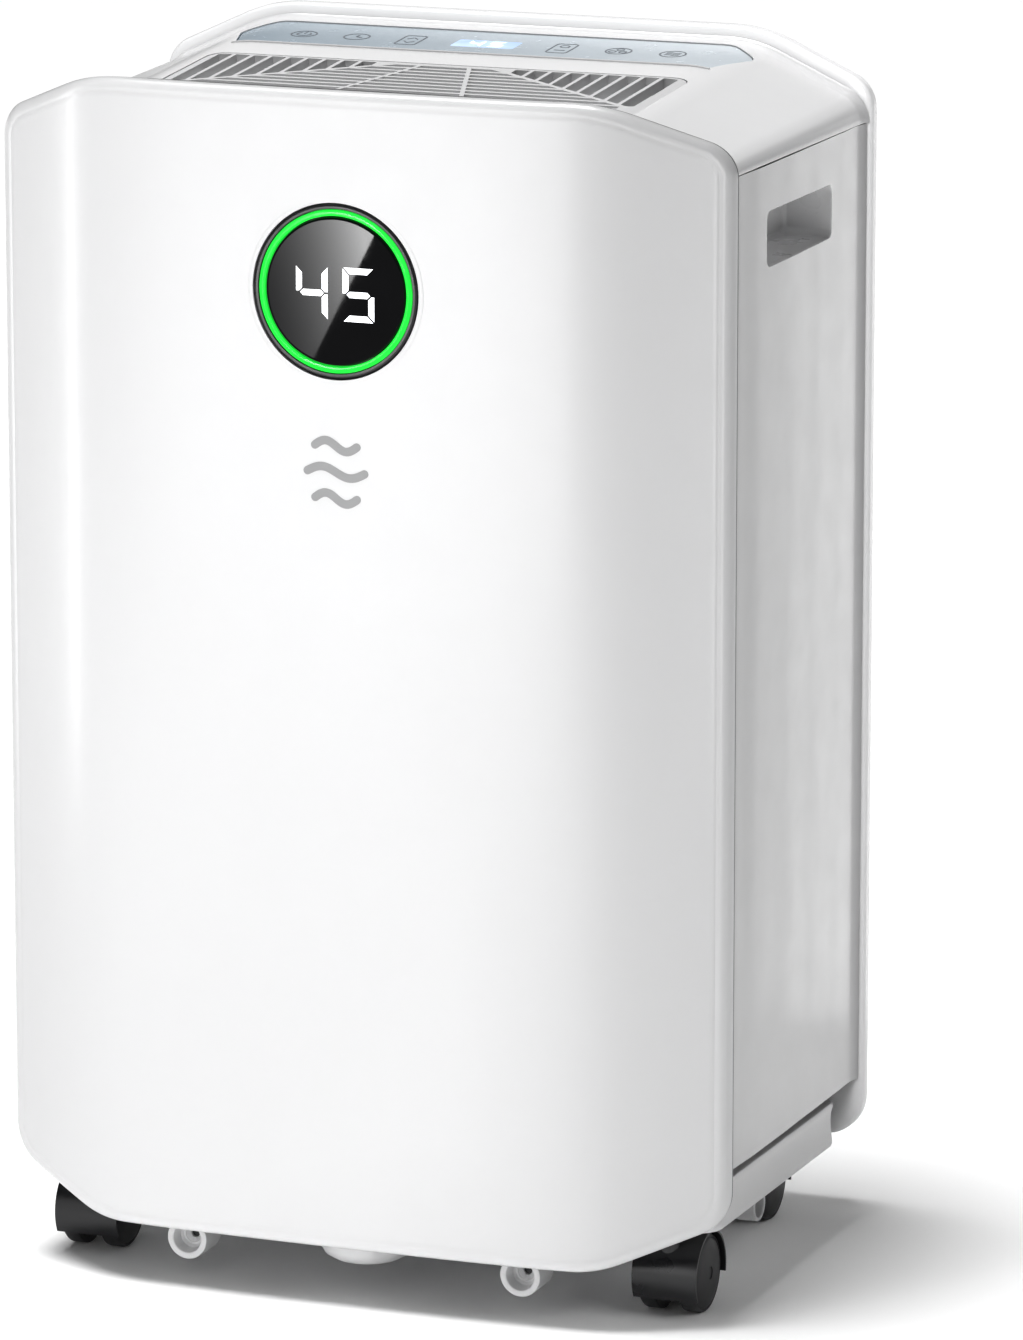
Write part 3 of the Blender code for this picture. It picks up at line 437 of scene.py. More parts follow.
def rounded(points, radii, steps=8):
    """Closed outline whose corners are arcs of the given radii (0 keeps a corner sharp)."""
    outline = []
    count = len(points)
    for i, radius in enumerate(radii):
        corner = Vector(points[i])
        if radius <= 0:
            outline.append(tuple(corner))
            continue
        to_last = (Vector(points[i - 1]) - corner).normalized()
        to_next = (Vector(points[(i + 1) % count]) - corner).normalized()
        half = to_last.angle(to_next) / 2
        start = corner + to_last * radius / math.tan(half)
        centre = corner + (to_last + to_next).normalized() * radius / math.sin(half)
        first = start - centre
        sweep = (math.pi - 2 * half) * (1 if to_last.cross(to_next) < 0 else -1)
        for k in range(steps + 1):
            a = sweep * k / steps
            outline.append((centre.x + first.x * math.cos(a) - first.y * math.sin(a),
                            centre.y + first.x * math.sin(a) + first.y * math.cos(a)))
    return outline


def rectangle(low, high):
    return [(low[0], low[1]), (high[0], low[1]), (high[0], high[1]), (low[0], high[1])]


def rounded_box(low, high, radius, steps=6, margin=0.0):
    """Rounded rectangle between two corners that are first moved out by the margin."""
    low = (low[0] - margin, low[1] - margin)
    high = (high[0] + margin, high[1] + margin)
    return rounded(rectangle(low, high), [radius] * 4, steps)


def inset(outline, distance):
    """Closed counter-clockwise outline moved inwards by a distance, outwards if negative."""
    moved = []
    count = len(outline)
    for i, point in enumerate(outline):
        before = (Vector(point) - Vector(outline[i - 1])).normalized()
        after = (Vector(outline[(i + 1) % count]) - Vector(point)).normalized()
        normal = Vector((-before.y - after.y, before.x + after.x)).normalized()
        reach = max(normal.dot(Vector((-before.y, before.x))), 0.4)
        moved.append(tuple(Vector(point) + normal * distance / reach))
    return moved


def insets(outline, profile, axis="Z"):
    """Loops of one outline, moved in by each margin of the profile and set at each height."""
    return [[along(axis, u, v, h) for u, v in inset(outline, margin)] for margin, h in profile]


def even_normals():
    """Lets large faces keep their own direction, so that only the narrow edge faces turn."""
    for obj in bpy.context.scene.objects:
        if obj.type == "MESH" and obj.name != "floor":
            step = obj.modifiers.new("normals", "WEIGHTED_NORMAL")
            step.keep_sharp = True


def boolean(target, other, operation):
    """Applies one Boolean to the target and removes the other object."""
    step = target.modifiers.new(operation.lower(), "BOOLEAN")
    step.operation = operation
    step.material_mode = "TRANSFER"
    step.object = other
    bpy.context.view_layer.update()
    result = bpy.data.meshes.new_from_object(
        target.evaluated_get(bpy.context.evaluated_depsgraph_get()))
    target.modifiers.remove(step)
    work = bmesh.new()
    work.from_mesh(result)
    bmesh.ops.remove_doubles(work, verts=work.verts, dist=0.003 * MM)
    bmesh.ops.dissolve_degenerate(work, edges=work.edges, dist=0.003 * MM)
    work.to_mesh(result)
    work.free()
    target.data = result
    bpy.data.objects.remove(other, do_unlink=True)
    return target


def cut(target, other):
    return boolean(target, other, "DIFFERENCE")


def weld(target, other):
    return boolean(target, other, "UNION")


def merge(objects):
    """Joins separate solids into the first object."""
    first = objects[0]
    work = bmesh.new()
    for obj in objects:
        work.from_mesh(obj.data)
    work.to_mesh(first.data)
    work.free()
    for obj in objects[1:]:
        bpy.data.objects.remove(obj, do_unlink=True)
    return first


def group(parts, name):
    """Joins separate solids into one named piece of the housing."""
    made = merge(parts)
    made.name = name
    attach(made, "housing")
    return made


def bevel(obj, width, segments=2, angle=35.0):
    step = obj.modifiers.new("edge", "BEVEL")
    step.width = width * MM
    step.segments = segments
    step.limit_method = "ANGLE"
    step.angle_limit = math.radians(angle)
    step.harden_normals = True
    return obj


def slice_mesh(obj, axis, stations):
    """Cuts every face along planes across one axis, so that the mesh can bend there."""
    work = bmesh.new()
    work.from_mesh(obj.data)
    normal = [0.0, 0.0, 0.0]
    normal[axis] = 1.0
    for station in stations:
        spot = [0.0, 0.0, 0.0]
        spot[axis] = station * MM
        bmesh.ops.bisect_plane(work, geom=work.verts[:] + work.edges[:] + work.faces[:],
                               plane_co=spot, plane_no=normal, dist=0.001 * MM)
    work.to_mesh(obj.data)
    work.free()


def reshape(obj, rule):
    """Moves each vertex by a rule on millimetre coordinates."""
    for vertex in obj.data.vertices:
        vertex.co = Vector(rule(vertex.co / MM)) * MM
    obj.data.update()


def stations(low, high, step):
    count = max(1, round((high - low) / step))
    return [low + (high - low) * k / count for k in range(count + 1)]


# ---- shared curves

def panel_y(x):
    """Front face of the front panel: nearly flat in the middle, swept back in the wings."""
    bow = PANEL_BOW * (x / 130.0) ** 2
    slope = (PANEL_SWEEP - PANEL_BOW) / (PANEL_HALF_W - PANEL_BEND_X)
    past = abs(x) - PANEL_BEND_X
    start = math.hypot(PANEL_BEND_X, PANEL_SOFTNESS) - PANEL_BEND_X
    return PANEL_LOW.y + bow + slope * 0.5 * (past + math.hypot(past, PANEL_SOFTNESS) - start)


def panel_outline():
    w = PANEL_HALF_W
    low = PANEL_LOW.z
    top = PANEL_HIGH.z
    points = [(-w, low + 24.5), (-132.7, low), (132.7, low), (w, low + 24.5),
              (w, top - 24), (134, top), (-134, top), (-w, top - 24)]
    return rounded(points, [22, 65, 65, 22, 20, 85, 85, 20], 14)


def top_plane(y):
    return TOP_REAR_Z + (y - TOP_REAR_Y) * TOP_SLOPE


def bend_drop(x):
    """How far the top face falls below its flat middle, near the two bends."""
    start = TOP_BEND_X - TOP_BEND_R * math.tan(math.atan2(TOP_DROP, SIDE_HIGH.x - TOP_BEND_X) / 2)
    past = max(abs(x) - start, 0.0)
    return TOP_BEND_R - math.sqrt(max(TOP_BEND_R ** 2 - past ** 2, 0.0))


def flare(y):
    """Concave sweep of the skin outwards where it meets the rear rim."""
    share = min(max((y - (TOP_REAR_Y - FLARE_LENGTH)) / FLARE_LENGTH, 0.0), 1.0)
    return FLARE_RISE * (1 - math.sqrt(1 - (share * 0.98) ** 2))


def flange_outline():
    w = SHELL_HIGH.x
    top = SHELL_HIGH.z
    low = SHELL_LOW.z
    points = [(-w, low), (w, low), (w, top - 27), (134, top), (-134, top), (-w, top - 27)]
    return rounded(points, [22, 22, 19, 77, 77, 19], 12)


# ---- front panel and display

def make_front_panel():
    outline = panel_outline()
    y0 = PANEL_LOW.y
    rim = [(PANEL_RIM * (1 - math.sin(a)), PANEL_RIM * (1 - math.cos(a)))
           for a in [math.radians(15 * k) for k in range(7)]]
    groove = ((4.6, 0.0), (3.0, 0.0), (1.9, 0.32), (0.8, 0.05))
    groove = [(PANEL_RIM + margin, depth) for margin, depth in groove]
    rim = groove + rim + [(0, PANEL_RIM + 0.5), (2.4, PANEL_RIM + 0.5), (3.2, 3.0)]
    rim = [(margin, y0 + depth) for margin, depth in rim]
    panel = loft("front_panel_shell", insets(outline, rim, "Y"), "shell")
    hole = turned("hole", [(0, y0 - 5), (RING_R + 3.4, y0 - 5), (RING_R + 3.4, y0 + 12), (0, y0 + 12)],
                  "shell", "Y", (0, 0, DISPLAY_Z), 96, None)
    cut(panel, hole)
    slice_mesh(panel, 0, stations(-PANEL_HALF_W + 1.5, PANEL_HALF_W - 1.5, 2.6))
    reshape(panel, lambda p: (p.x, p.y + panel_y(p.x) - y0, p.z))
    soften(panel, 40)
    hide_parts("front_panel")
    # Painted shade: a dark grey ring just behind the panel's rim draws the shaded gap between the panel and
    # the body.
    section = [(0.3, 5.3), (0.3, 7.2), (2.6, 7.2), (2.6, 5.3)]
    loops = [[(x, panel_y(x) + depth, z) for x, z in inset(outline, margin)] for margin, depth in section]
    loft("panel_gap_shade", loops, "gap_shade", ring=True)


LIT_BARS = {"4": "bcfg", "5": "acdfg"}


def digit_outlines(digit, centre, width, height, thick):
    """Bars of a seven-segment digit: mitred at the corners, pointed in the middle."""
    w = width / 2
    h = height / 2
    gap = thick * 0.18
    inner = w - thick
    across = [(-w + gap, h), (w - gap, h), (inner - gap, h - thick), (-inner + gap, h - thick)]
    upright = [(w, h - gap), (w, gap), (w - thick / 2, gap), (inner, thick / 2 + gap),
               (inner, h - thick - gap)]
    middle = [(-w + thick / 2 + gap, 0), (-inner + gap, thick / 2), (inner - gap, thick / 2),
              (w - thick / 2 - gap, 0), (inner - gap, -thick / 2), (-inner + gap, -thick / 2)]
    shapes = {"a": (across, 1, 1), "d": (across, 1, -1), "g": (middle, 1, 1), "b": (upright, 1, 1),
              "c": (upright, 1, -1), "f": (upright, -1, 1), "e": (upright, -1, -1)}
    outlines = []
    for key in LIT_BARS[digit]:
        points, sx, sz = shapes[key]
        outlines.append([(centre[0] + x * sx, centre[1] + z * sz) for x, z in points])
    return outlines


def make_display():
    centre = (0, 0, DISPLAY_Z)
    face = LENS_LOW.y
    outer = RING_R + 3.0
    turned("display_bezel",
           [(RING_R + 0.25, face + 0.5), (RING_R + 0.5, face + 0.1), (RING_R + 1.6, face),
            (outer - 1.2, face + 0.1), (outer - 0.5, face + 0.5), (outer, face + 1.4), (outer, face + 13),
            (6, face + 13), (6, face + 11), (RING_R + 0.25, face + 11)],
           "bezel", "Y", centre, 128)
    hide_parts("display_housing")
    inner = RING_R - RING_WIDTH
    turned("display_glow_ring",
           [(inner, face + 0.5), (inner + 0.5, face + 0.25), (RING_R - 0.5, face + 0.25),
            (RING_R, face + 0.5), (RING_R, face + 4), (inner, face + 4)],
           "ring", "Y", centre, 128)
    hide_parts("display_ring")
    turned("display_glass",
           [(0, face), (LENS_R - 1.2, face), (LENS_R - 0.7, face), (LENS_R - 0.2, face + 0.15),
            (LENS_R, face + 0.6), (LENS_R, face + 3), (0, face + 3)],
           "lens", "Y", centre, 128)
    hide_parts("display_lens")
    bars = []
    for digit, x in (("4", -12.2), ("5", 12.2)):
        for outline in digit_outlines(digit, (x, DISPLAY_Z - 1.0), 16.6, 26.5, 3.1):
            bars.append(tool(outline, face - 0.12, face + 0.3, "digit", "Y"))
    group(bars, "display_digits")
    turned("display_halo",
           [(outer + 0.3, face + 1.0), (outer + 0.5, face + 0.15), (outer + 1.6, face - 0.1),
            (outer + 2.9, face + 0.15), (outer + 3.2, face + 1.0)],
           "shell", "Y", centre, 128)


def ribbon(points, width):
    """Closed outline of a line of the given width with round ends."""
    left = []
    right = []
    for i, point in enumerate(points):
        here = Vector(point)
        ahead = Vector(points[min(i + 1, len(points) - 1)])
        behind = Vector(points[max(i - 1, 0)])
        way = (ahead - behind).normalized()
        side = Vector((-way.y, way.x)) * width / 2
        left.append(tuple(here + side))
        right.append(tuple(here - side))
    tip = Vector(points[-1]) - Vector(points[-2])
    tail = Vector(points[0]) - Vector(points[1])
    end = cap_points(points[-1], tip, width)
    start = cap_points(points[0], tail, width)
    return right + end + left[::-1] + start


def cap_points(point, way, width):
    angle = math.degrees(math.atan2(way.y, way.x))
    return arc(point, width / 2, angle - 60, angle + 60, 4)


def make_emblem():
    """Three short air waves under the display."""
    waves = []
    middle = DISPLAY_Z - 89.0
    for row, half in ((1, 11.0), (0, 15.0), (-1, 11.0)):
        points = []
        for k in range(25):
            share = k / 24
            points.append((half * (2 * share - 1),
                           middle + 13.0 * row + 2.6 * math.sin(share * 2 * math.pi)))
        y = panel_y(0)
        waves.append(tool(ribbon(points, 4.2), y - 0.15, y + 0.6, "ink", "Y"))
    group(waves, "emblem_waves")


# ---- top

def cover_section(half_w, top, base):
    points = [(half_w, base - 40), (half_w, top - TOP_DROP), (TOP_BEND_X, top),
              (-TOP_BEND_X, top), (-half_w, top - TOP_DROP), (-half_w, base - 40)]
    outline = rounded(points, [0, 17, TOP_BEND_R, TOP_BEND_R, 17, 0], 16)
    upper = [p for p in outline if p[1] > base + 0.5]
    return [(half_w, base)] + upper + [(-half_w, base)]


def make_top_cover():
    outer = cover_section(SIDE_HIGH.x - 0.6, TOP_REAR_Z, SEAM_Z)
    inner = [(x * (1 - WALL / SIDE_HIGH.x), z - WALL * (z - SEAM_Z) / (TOP_REAR_Z - SEAM_Z))
             for x, z in outer]
    section = outer + inner[::-1]
    count = len(outer)
    rear = [TOP_REAR_Y - FLARE_LENGTH * share for share in (1.0, 0.8, 0.6, 0.4, 0.25, 0.12, 0.04, 0.0)]

    def place(i, y):
        x, z = section[i]
        sweep = flare(y) if i < count else 0.0
        if 0 < sweep:
            before = Vector(outer[max(i - 1, 0)])
            after = Vector(outer[min(i + 1, count - 1)])
            way = (after - before).normalized()
            x += way.y * sweep
            z -= way.x * sweep
        share = (z - SEAM_Z) / (TOP_REAR_Z - SEAM_Z)
        return (x, y, SEAM_Z + share * (top_plane(y) - SEAM_Z))

    front_edge = [min(panel_y(x) + 8.0, -99.0) for x, z in section]
    loops = [[place(i, front_edge[i]) for i in range(len(section))],
             [place(i, front_edge[i] + 0.6) for i in range(len(section))]]
    loops += [[place(i, y) for i in range(len(section))] for y in rear]
    cover = loft("top_cover_shell", loops, "shell")
    for hole in (grille_outline(-GAP), strip_outline(-GAP)):
        cut(cover, tool(hole, SEAM_Z, TOP_REAR_Z + 20, "shell"))
    soften(cover, 30)
    bevel(cover, 0.5, 2, 50)
    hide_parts("top_cover")


def grille_outline(margin):
    return rounded_box(GRILLE_LOW, GRILLE_HIGH, 6.0, margin=-margin)


def strip_outline(margin):
    front, middle, rear = 33.0, 70.0, 84.0
    points = [(-127, front), (127, front), (139.5, middle), (124, rear), (-124, rear), (-139.5, middle)]
    return inset(rounded(points, [2, 2, 7, 9, 9, 7], 6), margin)


FAN_START = 27.0
FAN_SLOPE = 0.68


def grille_slots():
    """Lengthwise openings of the two fans beside the cross louvres."""
    rear = GRILLE_HIGH.y - 2.4
    slots = []
    bars = 10
    first = 27.5
    width = (GRILLE_HIGH.x - 3.0 - first) / bars
    for bar in range(bars):
        x0 = first + bar * width
        x1 = x0 + width - 2.2
        if fan_depth(x0) < 2.5:
            continue
        corners = [(x0, rear - fan_depth(x0)), (x1, rear - fan_depth(x1)), (x1, rear), (x0, rear)]
        radius = 3.4 if bar == bars - 1 else 0.4
        outline = rounded(corners, [0.4, radius, 0.4, 0.4], 4)
        slots.append(outline)
        slots.append([(-x, y) for x, y in outline][::-1])
    return slots


def fan_depth(x):
    """Length of the fan at a distance from the middle."""
    return max(x - FAN_START, 0.0) * FAN_SLOPE


def louvre_slots():
    """Grooves between the cross louvres, broken by two sloping ribs."""
    rear = GRILLE_HIGH.y - 2.4
    front = GRILLE_LOW.y + 6.0
    rows = 14
    pitch = (rear - front) / rows
    slots = []
    for row in range(rows):
        y0 = front + row * pitch
        y1 = y0 + pitch - 2.5
        edges = []
        for y in (y0, y1):
            outer = min(FAN_START - 5.0 + (rear - y) / FAN_SLOPE, 117.0)
            rib = 12.5 + (rear - y) * 0.33
            edges.append((outer, rib))
        (outer0, rib0), (outer1, rib1) = edges
        slots.append([(1.2 - rib0, y0), (rib0 - 1.2, y0), (rib1 - 1.2, y1), (1.2 - rib1, y1)])
        if outer1 - rib1 > 4:
            slots.append([(rib0 + 1.2, y0), (outer0, y0), (outer1, y1), (rib1 + 1.2, y1)])
            slots.append([(-outer0, y0), (-rib0 - 1.2, y0), (-rib1 - 1.2, y1), (-outer1, y1)])
    return slots


def make_grille():
    thick = 5.0
    outline = grille_outline(0.0)
    loops = insets(outline, [(0, -thick), (0, -0.2), (0.1, 0)])
    grille = loft("top_grille_louvres", loops, "trim")
    cutters = [tool(slot, -thick - 5, 5, "trim") for slot in grille_slots()]
    cutters += [tool(slot, -2.4, 5, "trim") for slot in louvre_slots()]
    cut(grille, merge(cutters))
    # The plate under the outlet slots is in the lightened white, which paints light under the slots.
    floor = prism("outlet_floor", inset(outline, 3.0), -12.0, -9.0, "painted_light_white")
    for plate in (grille, floor):
        slice_mesh(plate, 0, [side * x for side in (-1, 1) for x in (116, 119, 122, 125, 127)])
        reshape(plate, lambda p: (p.x, p.y, p.z + top_plane(p.y) - bend_drop(p.x) - 0.1))
    soften(grille, 35)
    bevel(grille, 0.3, 2, 50)
    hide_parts("top_grille")


def on_strip(y, rise=0.0):
    return top_plane(y) - 0.5 + rise


def decal(name, outlines, finish, rise=0.1):
    """Thin raised print lying on the touch strip."""
    parts = []
    for outline in outlines:
        top = [(x, y, on_strip(y, rise)) for x, y in outline]
        bottom = [(x, y, on_strip(y, -0.3)) for x, y in outline]
        parts.append(loft("print", [bottom, top], finish, None))
    return group(parts, name)


def hoop(centre, radius, width=0.8, first=0, last=360):
    """Ring or arc as closed outlines of a thin line."""
    points = arc(centre, radius, first, last, 28)
    if last - first < 359:
        return [ribbon(points, width)]
    halves = []
    for a, b in ((0, 180), (180, 360)):
        outer = arc(centre, radius + width / 2, a, b, 16)
        inner = arc(centre, radius - width / 2, b, a, 16)
        halves.append(outer + inner)
    return halves


def frame_lines(centre, half_w, half_d, width=0.8):
    """Rounded-rectangle frame in two halves."""
    x, y = centre
    outer = rounded_box((x - half_w, y - half_d), (x + half_w, y + half_d), 2.6, 4)
    inner = inset(outer, width)
    half = len(outer) // 2
    first = outer[:half + 1] + inner[:half + 1][::-1]
    second = outer[half:] + [outer[0]] + [inner[0]] + inner[half:][::-1]
    return [first, second]


def make_controls():
    outline = strip_outline(0.0)
    loops = []
    for margin, h in ((0.0, -2.2), (0.0, -0.5), (0.2, -0.15), (0.6, 0.0)):
        loops.append([(x, y, on_strip(y, h)) for x, y in inset(outline, margin)])
    strip = loft("control_glass", loops, "strip")
    slice_mesh(strip, 0, [side * x for side in (-1, 1) for x in stations(116, 139, 2.3)])
    reshape(strip, lambda p: (p.x, p.y, p.z - bend_drop(p.x)))
    soften(strip)
    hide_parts("control_panel")
    lip = [(-0.9, -1.2), (0.7, -1.2), (0.7, 0.3), (0.35, 0.8), (-0.15, 0.95), (-0.6, 0.7), (-0.9, 0.1)]
    y = 32.2
    loops = []
    for x in stations(-129, 129, 3.0):
        loops.append([(x, y + v, top_plane(y) - bend_drop(x) + h) for v, h in lip])
    loft("strip_lip", loops, "shell")
    y = 58.0
    lines = []
    for x in (-100.0, -71.0, 71.0, 100.0):
        lines += hoop((x, y), 6.6)
    lines += hoop((-100, y), 3.6, 0.8, 130, 410)
    lines.append(ribbon([(-100, y + 1.0), (-100, y + 5.2)], 0.8))
    lines.append(ribbon([(-71, y), (-71, y + 4.0)], 0.8))
    lines.append(ribbon([(-71, y), (-67.8, y - 1.6)], 0.8))
    for turn in (90, 210, 330):
        tip = arc((71, y), 3.2, turn, turn + 1, 1)[0]
        lines += hoop(tip, 1.9, 0.7)
    for row in (-2.4, 0.0, 2.4):
        wave = [(96.4 + 7.2 * k / 8, y + row + 0.6 * math.sin(k / 8 * 2 * math.pi)) for k in range(9)]
        lines.append(ribbon(wave, 0.7))
    for x in (-41.0, 41.0):
        lines += frame_lines((x, y - 1.0), 6.0, 10.5)
    lines.append(ribbon([(-43.6, y + 1.6), (-41, y + 4.6), (-38.4, y + 1.6)], 0.8))
    lines.append(ribbon([(-43.6, y - 3.6), (-41, y - 6.6), (-38.4, y - 3.6)], 0.8))
    lines += hoop((41, y + 3.4), 2.4, 0.7)
    lines.append(ribbon([(38.4, y - 5.0), (43.6, y - 5.0)], 0.8))
    decal("control_icons", lines, "icon_ink")
    window = rounded_box((-17, y - 8.5), (17, y + 7.0), 1.6)
    decal("readout_window", [window], "window", 0.06)
    bars = []
    for digit, x in (("4", -5.6), ("5", 5.6)):
        bars += digit_outlines(digit, (x, y - 0.6), 7.6, 11.0, 1.9)
    decal("readout_digits", bars, "readout", 0.16)


# ---- sides and back

CROWN = ((-104.0, -2.2), (-88.0, -0.7), (-60.0, 0.0), (-20.0, -0.1), (20.0, -0.5), (60.0, -0.9),
         (84.0, -1.3), (93.0, -1.3))


def crown(y):
    """Smooth plan curve of a side panel, in millimetres out of its nominal plane."""
    for (y0, d0), (y1, d1) in zip(CROWN, CROWN[1:]):
        if y <= y1:
            share = min(max((y - y0) / (y1 - y0), 0.0), 1.0)
            return d0 + (d1 - d0) * (3 * share ** 2 - 2 * share ** 3)
    return CROWN[-1][1]


def make_side_panel(side, name, node):
    low, high = span(node)
    y0, y1 = SIDE_LOW.y, TOP_REAR_Y
    face = SIDE_HIGH.x - 0.6
    stops = stations(y0 + 1.0, y1 - FLARE_LENGTH, 4.0)
    stops += [y1 - FLARE_LENGTH * share for share in (0.8, 0.6, 0.4, 0.25, 0.12, 0.04, 0.0)]
    outer = [(side * (face - 3.0), y0)]
    outer += [(side * (face + crown(y) + flare(y)), y) for y in stops]
    inner = [(side * (face - WALL - 2), y) for y in (y1, y0)]
    outline = outer + inner
    # The side skin is in the darkened white, which paints the shade on the sides.
    panel = prism(name, outline, SIDE_LOW.z, SEAM_Z - 2 * GAP, "flank")
    recess_low, recess_high = (-51.0, 523.0), (45.0, 549.0)
    recess = rounded_box(recess_low, recess_high, 4, 8)
    deep = SIDE_HIGH.x - 27.0
    cup_outline = rounded_box(recess_low, recess_high, 7, margin=2.5)
    ends = sorted((side * (deep - 2.0), side * (face - 3.5)))
    weld(panel, tool(cup_outline, *ends, "flank", "X"))
    mouth = [(-1.1, 8.0), (-1.1, 0.4), (-0.8, -0.3), (-0.3, -0.9), (0.0, -1.7), (0.0, -24.5), (1.0, -26.0),
             (2.2, -26.6)]
    loops = insets(recess, [(margin, side * (face + depth)) for margin, depth in mouth], "X")
    # The recess walls take the lightened white through the cut, which paints light inside the recess.
    cut(panel, loft("hollow", loops, "painted_light_white", None))
    soften(panel, 24)
    bevel(panel, 0.6, 2, 60)
    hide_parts(node)
    return panel


def make_rim():
    """Flat rim round the back: a sloping front band, a round edge and a short return."""
    outline = flange_outline()
    section = [(24.0, 93.6), (6.4, 93.6), (1.8, 94.8), (0.9, 95.4), (0.3, 96.3), (0.0, 97.6), (0.0, 101.6),
               (0.4, 103.0), (1.6, 104.0), (24.0, 104.0)]
    loft("rear_rim", insets(outline, section, "Y"), "shell", ring=True)


def make_back():
    half_w, low, top = 176.0, 52.0, 603.0
    back = SHELL_HIGH.y
    corners = [(-half_w, low), (half_w, low), (half_w, top - 22), (128, top), (-128, top),
               (-half_w, top - 22)]
    outline = rounded(corners, [20, 20, 18, 60, 60, 18], 10)
    profile = [(0.0, 103.0), (0.0, back - 6.0), (0.5, back - 3.4), (1.8, back - 1.4), (3.6, back - 0.3),
               (5.5, back)]
    body = loft("rear_body", insets(outline, profile, "Y"), "shell")
    hollow = insets(outline, [(WALL, 90.0), (WALL, back - WALL)], "Y")
    cut(body, loft("hollow", hollow, "inner", None))
    openings = [rounded_box(FILTER_LOW.xz, FILTER_HIGH.xz, 8, margin=GAP),
                rounded_box((TANK_LOW.x - 2, TANK_LOW.z - 3), (TANK_HIGH.x + 2, TANK_HIGH.z + 12), 4)]
    for opening in openings:
        cut(body, tool(opening, back - 20, back + 10, "shell", "Y"))
    for node, radius in (("drain_cap", 10.5), ("power_inlet", 8.4)):
        low_corner, high_corner = span(node)
        centre = (low_corner + high_corner) / 2
        cut(body, turned("hole", [(0, back - 20), (radius, back - 20), (radius, back + 10), (0, back + 10)],
                         "shell", "Y", (centre.x, 0, centre.z), 32, None))
    soften(body, 25)
    bevel(body, 0.7, 2, 60)
    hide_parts("back_shell")


def make_filter():
    low, high = FILTER_LOW, FILTER_HIGH
    outline = rounded_box(low.xz, high.xz, 8)
    profile = [(0, low.y), (0, high.y - 0.8), (0.3, high.y - 0.2), (1.0, high.y)]
    grid = loft("filter_grille", insets(outline, profile, "Y"), "trim", "filter")
    rows = 14
    inner_low, inner_high = low.z + 11, high.z - 26
    pitch = (inner_high - inner_low) / rows
    cutters = []
    for row in range(rows):
        z = inner_low + row * pitch
        for x0, x1 in ((low.x + 12, -46), (-42, -2), (2, 42), (46, high.x - 12)):
            slot = rounded_box((x0, z), (x1, z + pitch - 4.2), 3.0, 4)
            cutters.append(tool(slot, low.y - 5, high.y + 5, "trim", "Y"))
    grip = rounded_box((-34, high.z - 19), (34, high.z - 7), 5.5, 6)
    cutters.append(tool(grip, high.y - 4.0, high.y + 5, "trim", "Y"))
    cut(grid, merge(cutters))
    soften(grid, 30)
    bevel(grid, 0.4, 2, 50)
    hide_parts("filter_frame")


def make_rear_fittings():
    low, high = span("drain_cap")
    centre = ((low.x + high.x) / 2, 0, (low.z + high.z) / 2)
    plug = turned("drain_plug_cap", [(0, high.y - 1.2), (3.0, high.y - 1.2), (3.6, high.y), (7.6, high.y),
                                     (9.2, high.y - 0.5), (10, high.y - 1.6), (10, high.y - 3.2),
                                     (3.6, high.y - 3.2),
                                     (3.6, low.y), (0, low.y)],
                  "rubber", "Y", centre, 48, "drain_plug")
    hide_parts("drain_cap")
    low, high = span("power_inlet")
    centre = ((low.x + high.x) / 2, 0, (low.z + high.z) / 2)
    gland = turned("cord_gland", [(3.2, high.y - 1.0), (4.0, high.y), (7.2, high.y), (8, high.y - 0.8),
                                  (8, high.y - 3.4), (10.5, high.y - 3.4), (10.5, high.y - 7),
                                  (3.2, high.y - 12)],
                   "black_plastic", "Y", centre, 48)
    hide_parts("power_inlet")


# ---- base

def tray_outline():
    w = TRAY_HIGH.x
    rear = 70.0
    tail = 152.0
    points = [(-w, -102), (-150, -121), (-120, -129), (120, -129), (150, -121), (w, -102),
              (w, rear), (tail, rear), (tail, 91), (-tail, 91), (-tail, rear), (-w, rear)]
    return rounded(points, [14, 30, 12, 12, 30, 14, 2.5, 0, 2.5, 2.5, 0, 2.5], 6)


def make_tray():
    """Base tray: a shadow groove under the side panels, a round ridge and a hollow flank."""
    outline = tray_outline()
    bottom = TRAY_LOW_EDGE
    profile = [(2.5, bottom), (1.0, bottom + 0.5), (0.3, bottom + 2.0), (0.2, bottom + 4.0),
               (0.8, bottom + 9.0),
               (1.1, bottom + 14.0), (0.9, bottom + 18.5), (0.2, bottom + 21.0), (0.0, bottom + 22.2),
               (0.4, bottom + 23.6), (1.8, bottom + 24.6), (5.5, bottom + 25.0), (6.0, bottom + 30.0),
               (9.0, bottom + 30.0), (9.0, bottom + 6.0)]
    tray = loft("base_tray_shell", insets(outline, profile), "trim")
    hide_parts("base_tray")
    turned("sump_dish", [(0, 17), (15.5, 17), (17.5, 17.6), (22, 20.4), (24, 24), (25.4, 30),
                         (27, bottom + 1),
                         (22, bottom + 1), (20, 30), (0, 24)],
           "trim", "Z", (0, -104, 0), 64)
    for side, word in ((-1, "left"), (1, "right")):
        make_lug(side, word)
        make_boss(side, word)


TRAY_LOW_EDGE = 47.5


